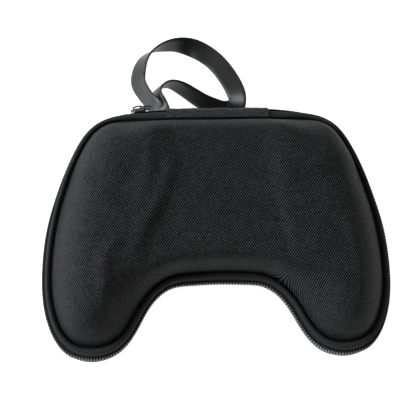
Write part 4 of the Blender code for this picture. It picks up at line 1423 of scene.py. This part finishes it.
@dataclass
class Studio:
    """Pale floor, soft lights and the camera over the case."""

    aim: tuple[float, float, float] = (-0.0040, 0.01285, PARTING_Z)
    distance: float = 0.600
    tilt_left: float = 3.870
    tilt_front: float = 8.0
    roll: float = -1.514
    lens: float = 98.34
    floor_size: float = 3.0
    floor_glow: float = 0.90
    ambient: float = 0.25

    def build(self) -> None:
        """Set the stage."""
        scene = bpy.context.scene
        scene.view_settings.view_transform = "Standard"
        self.floor()
        self.camera()
        self.lights()
        self.world()

    def floor(self) -> None:
        """White floor that keeps the object's shadow."""
        obj = Bench.primitive("floor", bpy.ops.mesh.primitive_plane_add, size=self.floor_size,
                              location=(0.0, 0.0, -0.0002))
        shader = Shader("floor_white")
        shader.set(Base_Color=(0.86, 0.86, 0.86, 1.0), Roughness=0.9,
                   Emission_Color=(1.0, 1.0, 1.0, 1.0))
        path = shader.tree.nodes.new("ShaderNodeLightPath")
        seen = shader.math("ADD", path.outputs["Is Camera Ray"], path.outputs["Is Glossy Ray"],
                           clamp=True)
        seen = shader.math("ADD", seen, path.outputs["Is Transmission Ray"], clamp=True)
        shader.link(shader.math("MULTIPLY", seen, self.floor_glow), "Emission Strength")
        obj.data.materials.append(shader.material)

    def camera(self) -> None:
        """Camera nearly overhead, leaning to the left and the front."""
        left, front = math.radians(self.tilt_left), math.radians(self.tilt_front)
        back = Vector((-math.sin(left), -math.sin(front), 0.0))
        back.z = math.sqrt(1.0 - back.length_squared)
        right = Vector((0.0, 1.0, 0.0)).cross(back).normalized()
        up = back.cross(right)
        turn = math.radians(self.roll)
        across = right * math.cos(turn) + up * math.sin(turn)
        upward = up * math.cos(turn) - right * math.sin(turn)
        data = bpy.data.cameras.new("camera")
        data.lens = self.lens
        data.sensor_width = 36.0
        data.clip_start = 0.01
        obj = Bench.add("camera", data)
        basis = Matrix((across, upward, back)).transposed().to_4x4()
        obj.matrix_world = Matrix.Translation(Vector(self.aim) + back * self.distance) @ basis
        bpy.context.scene.camera = obj

    @staticmethod
    def softbox(name: str, place: Triple, size: Pair, power: float,
                tint: Triple = (1.0, 1.0, 1.0)) -> None:
        """Area light that stands at a place, faces the case and has a power in watts."""
        data = bpy.data.lights.new(name, "AREA")
        data.shape = "RECTANGLE"
        data.size, data.size_y = size
        data.energy = power
        data.color = tint
        obj = Bench.add(name, data)
        turn = (Vector((0.0, 0.0, LIGHTS_AIM_Z)) - Vector(place)).to_track_quat("-Z", "Y")
        obj.matrix_world = Matrix.Translation(place) @ turn.to_matrix().to_4x4()

    def lights(self) -> None:
        """Large key from the left, weak fill from the right and a soft top."""
        self.softbox("key_left", (-1.20, 0.20, 0.66), (0.8, 0.8), 22.0, (0.90, 1.0, 1.0))
        self.softbox("fill_right", (1.10, 0.10, 0.60), (0.8, 0.8), 0.9)
        self.softbox("top_back", (0.0, 0.80, 1.10), (1.0, 0.5), 1.6)

    def world(self) -> None:
        """Even pale surroundings, white where the camera sees them."""
        world = bpy.data.worlds.new("studio")
        bpy.context.scene.world = world
        world.use_nodes = True
        tree = world.node_tree
        back = tree.nodes["Background"]
        back.inputs["Color"].default_value = (1.0, 1.0, 1.0, 1.0)
        path = tree.nodes.new("ShaderNodeLightPath")
        mix = tree.nodes.new("ShaderNodeMath")
        mix.operation = "MULTIPLY_ADD"
        tree.links.new(path.outputs["Is Camera Ray"], mix.inputs[0])
        mix.inputs[1].default_value = 1.0 - self.ambient
        mix.inputs[2].default_value = self.ambient
        tree.links.new(mix.outputs[0], back.inputs["Strength"])


def main() -> None:
    """Build the stage and every piece of the case."""
    # The weaves' dark and light colours are painted shade and a painted highlight.
    shell_cloth = WovenNylon("shell_oxford").build()
    strip_cloth = WovenNylon("strip_oxford", (0.012, 0.012, 0.014), (0.205, 0.203, 0.230)).build()
    lining = BrushedLining("brushed_lining").build()
    # Each tape's dark colour is painted shade in grooves, its light one painted light on crests.
    welt_cloth = RibbedTape("welt_binding", 0.00085, (0.012, 0.0115, 0.012),
                            (0.066, 0.063, 0.066)).build()
    tape_cloth = RibbedTape("zip_tape_weave", 0.0006, (0.001, 0.001, 0.0012),
                            (0.007, 0.007, 0.008), cross=0.0006).build()
    webbing = RibbedTape("strap_webbing", 0.0006, (0.003, 0.0035, 0.004), (0.012, 0.015, 0.0155),
                         relief=0.00003, roughness=0.38, cross=0.0005, specular=0.42).build()
    cord = RibbedTape("coil_cord", 0.0008, (0.010, 0.011, 0.011), (0.048, 0.052, 0.053),
                      cross=0.0006).build()
    coil = NylonCoil("coil_nylon").build()
    metal = PlatedMetal("slider_gunmetal", (0.17, 0.17, 0.175), 0.26).build()
    ring_metal = PlatedMetal("ring_black_nickel", (0.06, 0.06, 0.066), 0.28).build()

    Studio().build()
    WristStrap(webbing).build()
    rim = RimLine()
    MouldedShell(Side.BASE, rim, PARTING_Z, base_shoulder, base_fall, shell_cloth, lining).build()
    MouldedShell(Side.LID, rim, LID_HEIGHT, LidShoulder().at, LidRelief().fall, shell_cloth,
                 lining).build()
    for side in Side:
        RolledWelt(side, rim, welt_cloth).build()
        band = ZipBand(side, rim, tape_cloth, coil, cord)
        band.build_tape()
        band.build_coil()
        band.build_binding()
    hinge = FabricHinge(strip_cloth, tape_cloth)
    hinge.build_strip()
    hinge.build_lining()
    slider = ZipSlider(rim, metal, ring_metal)
    slider.build_body()
    slider.build_ring()


if __name__ == "__main__":
    main()
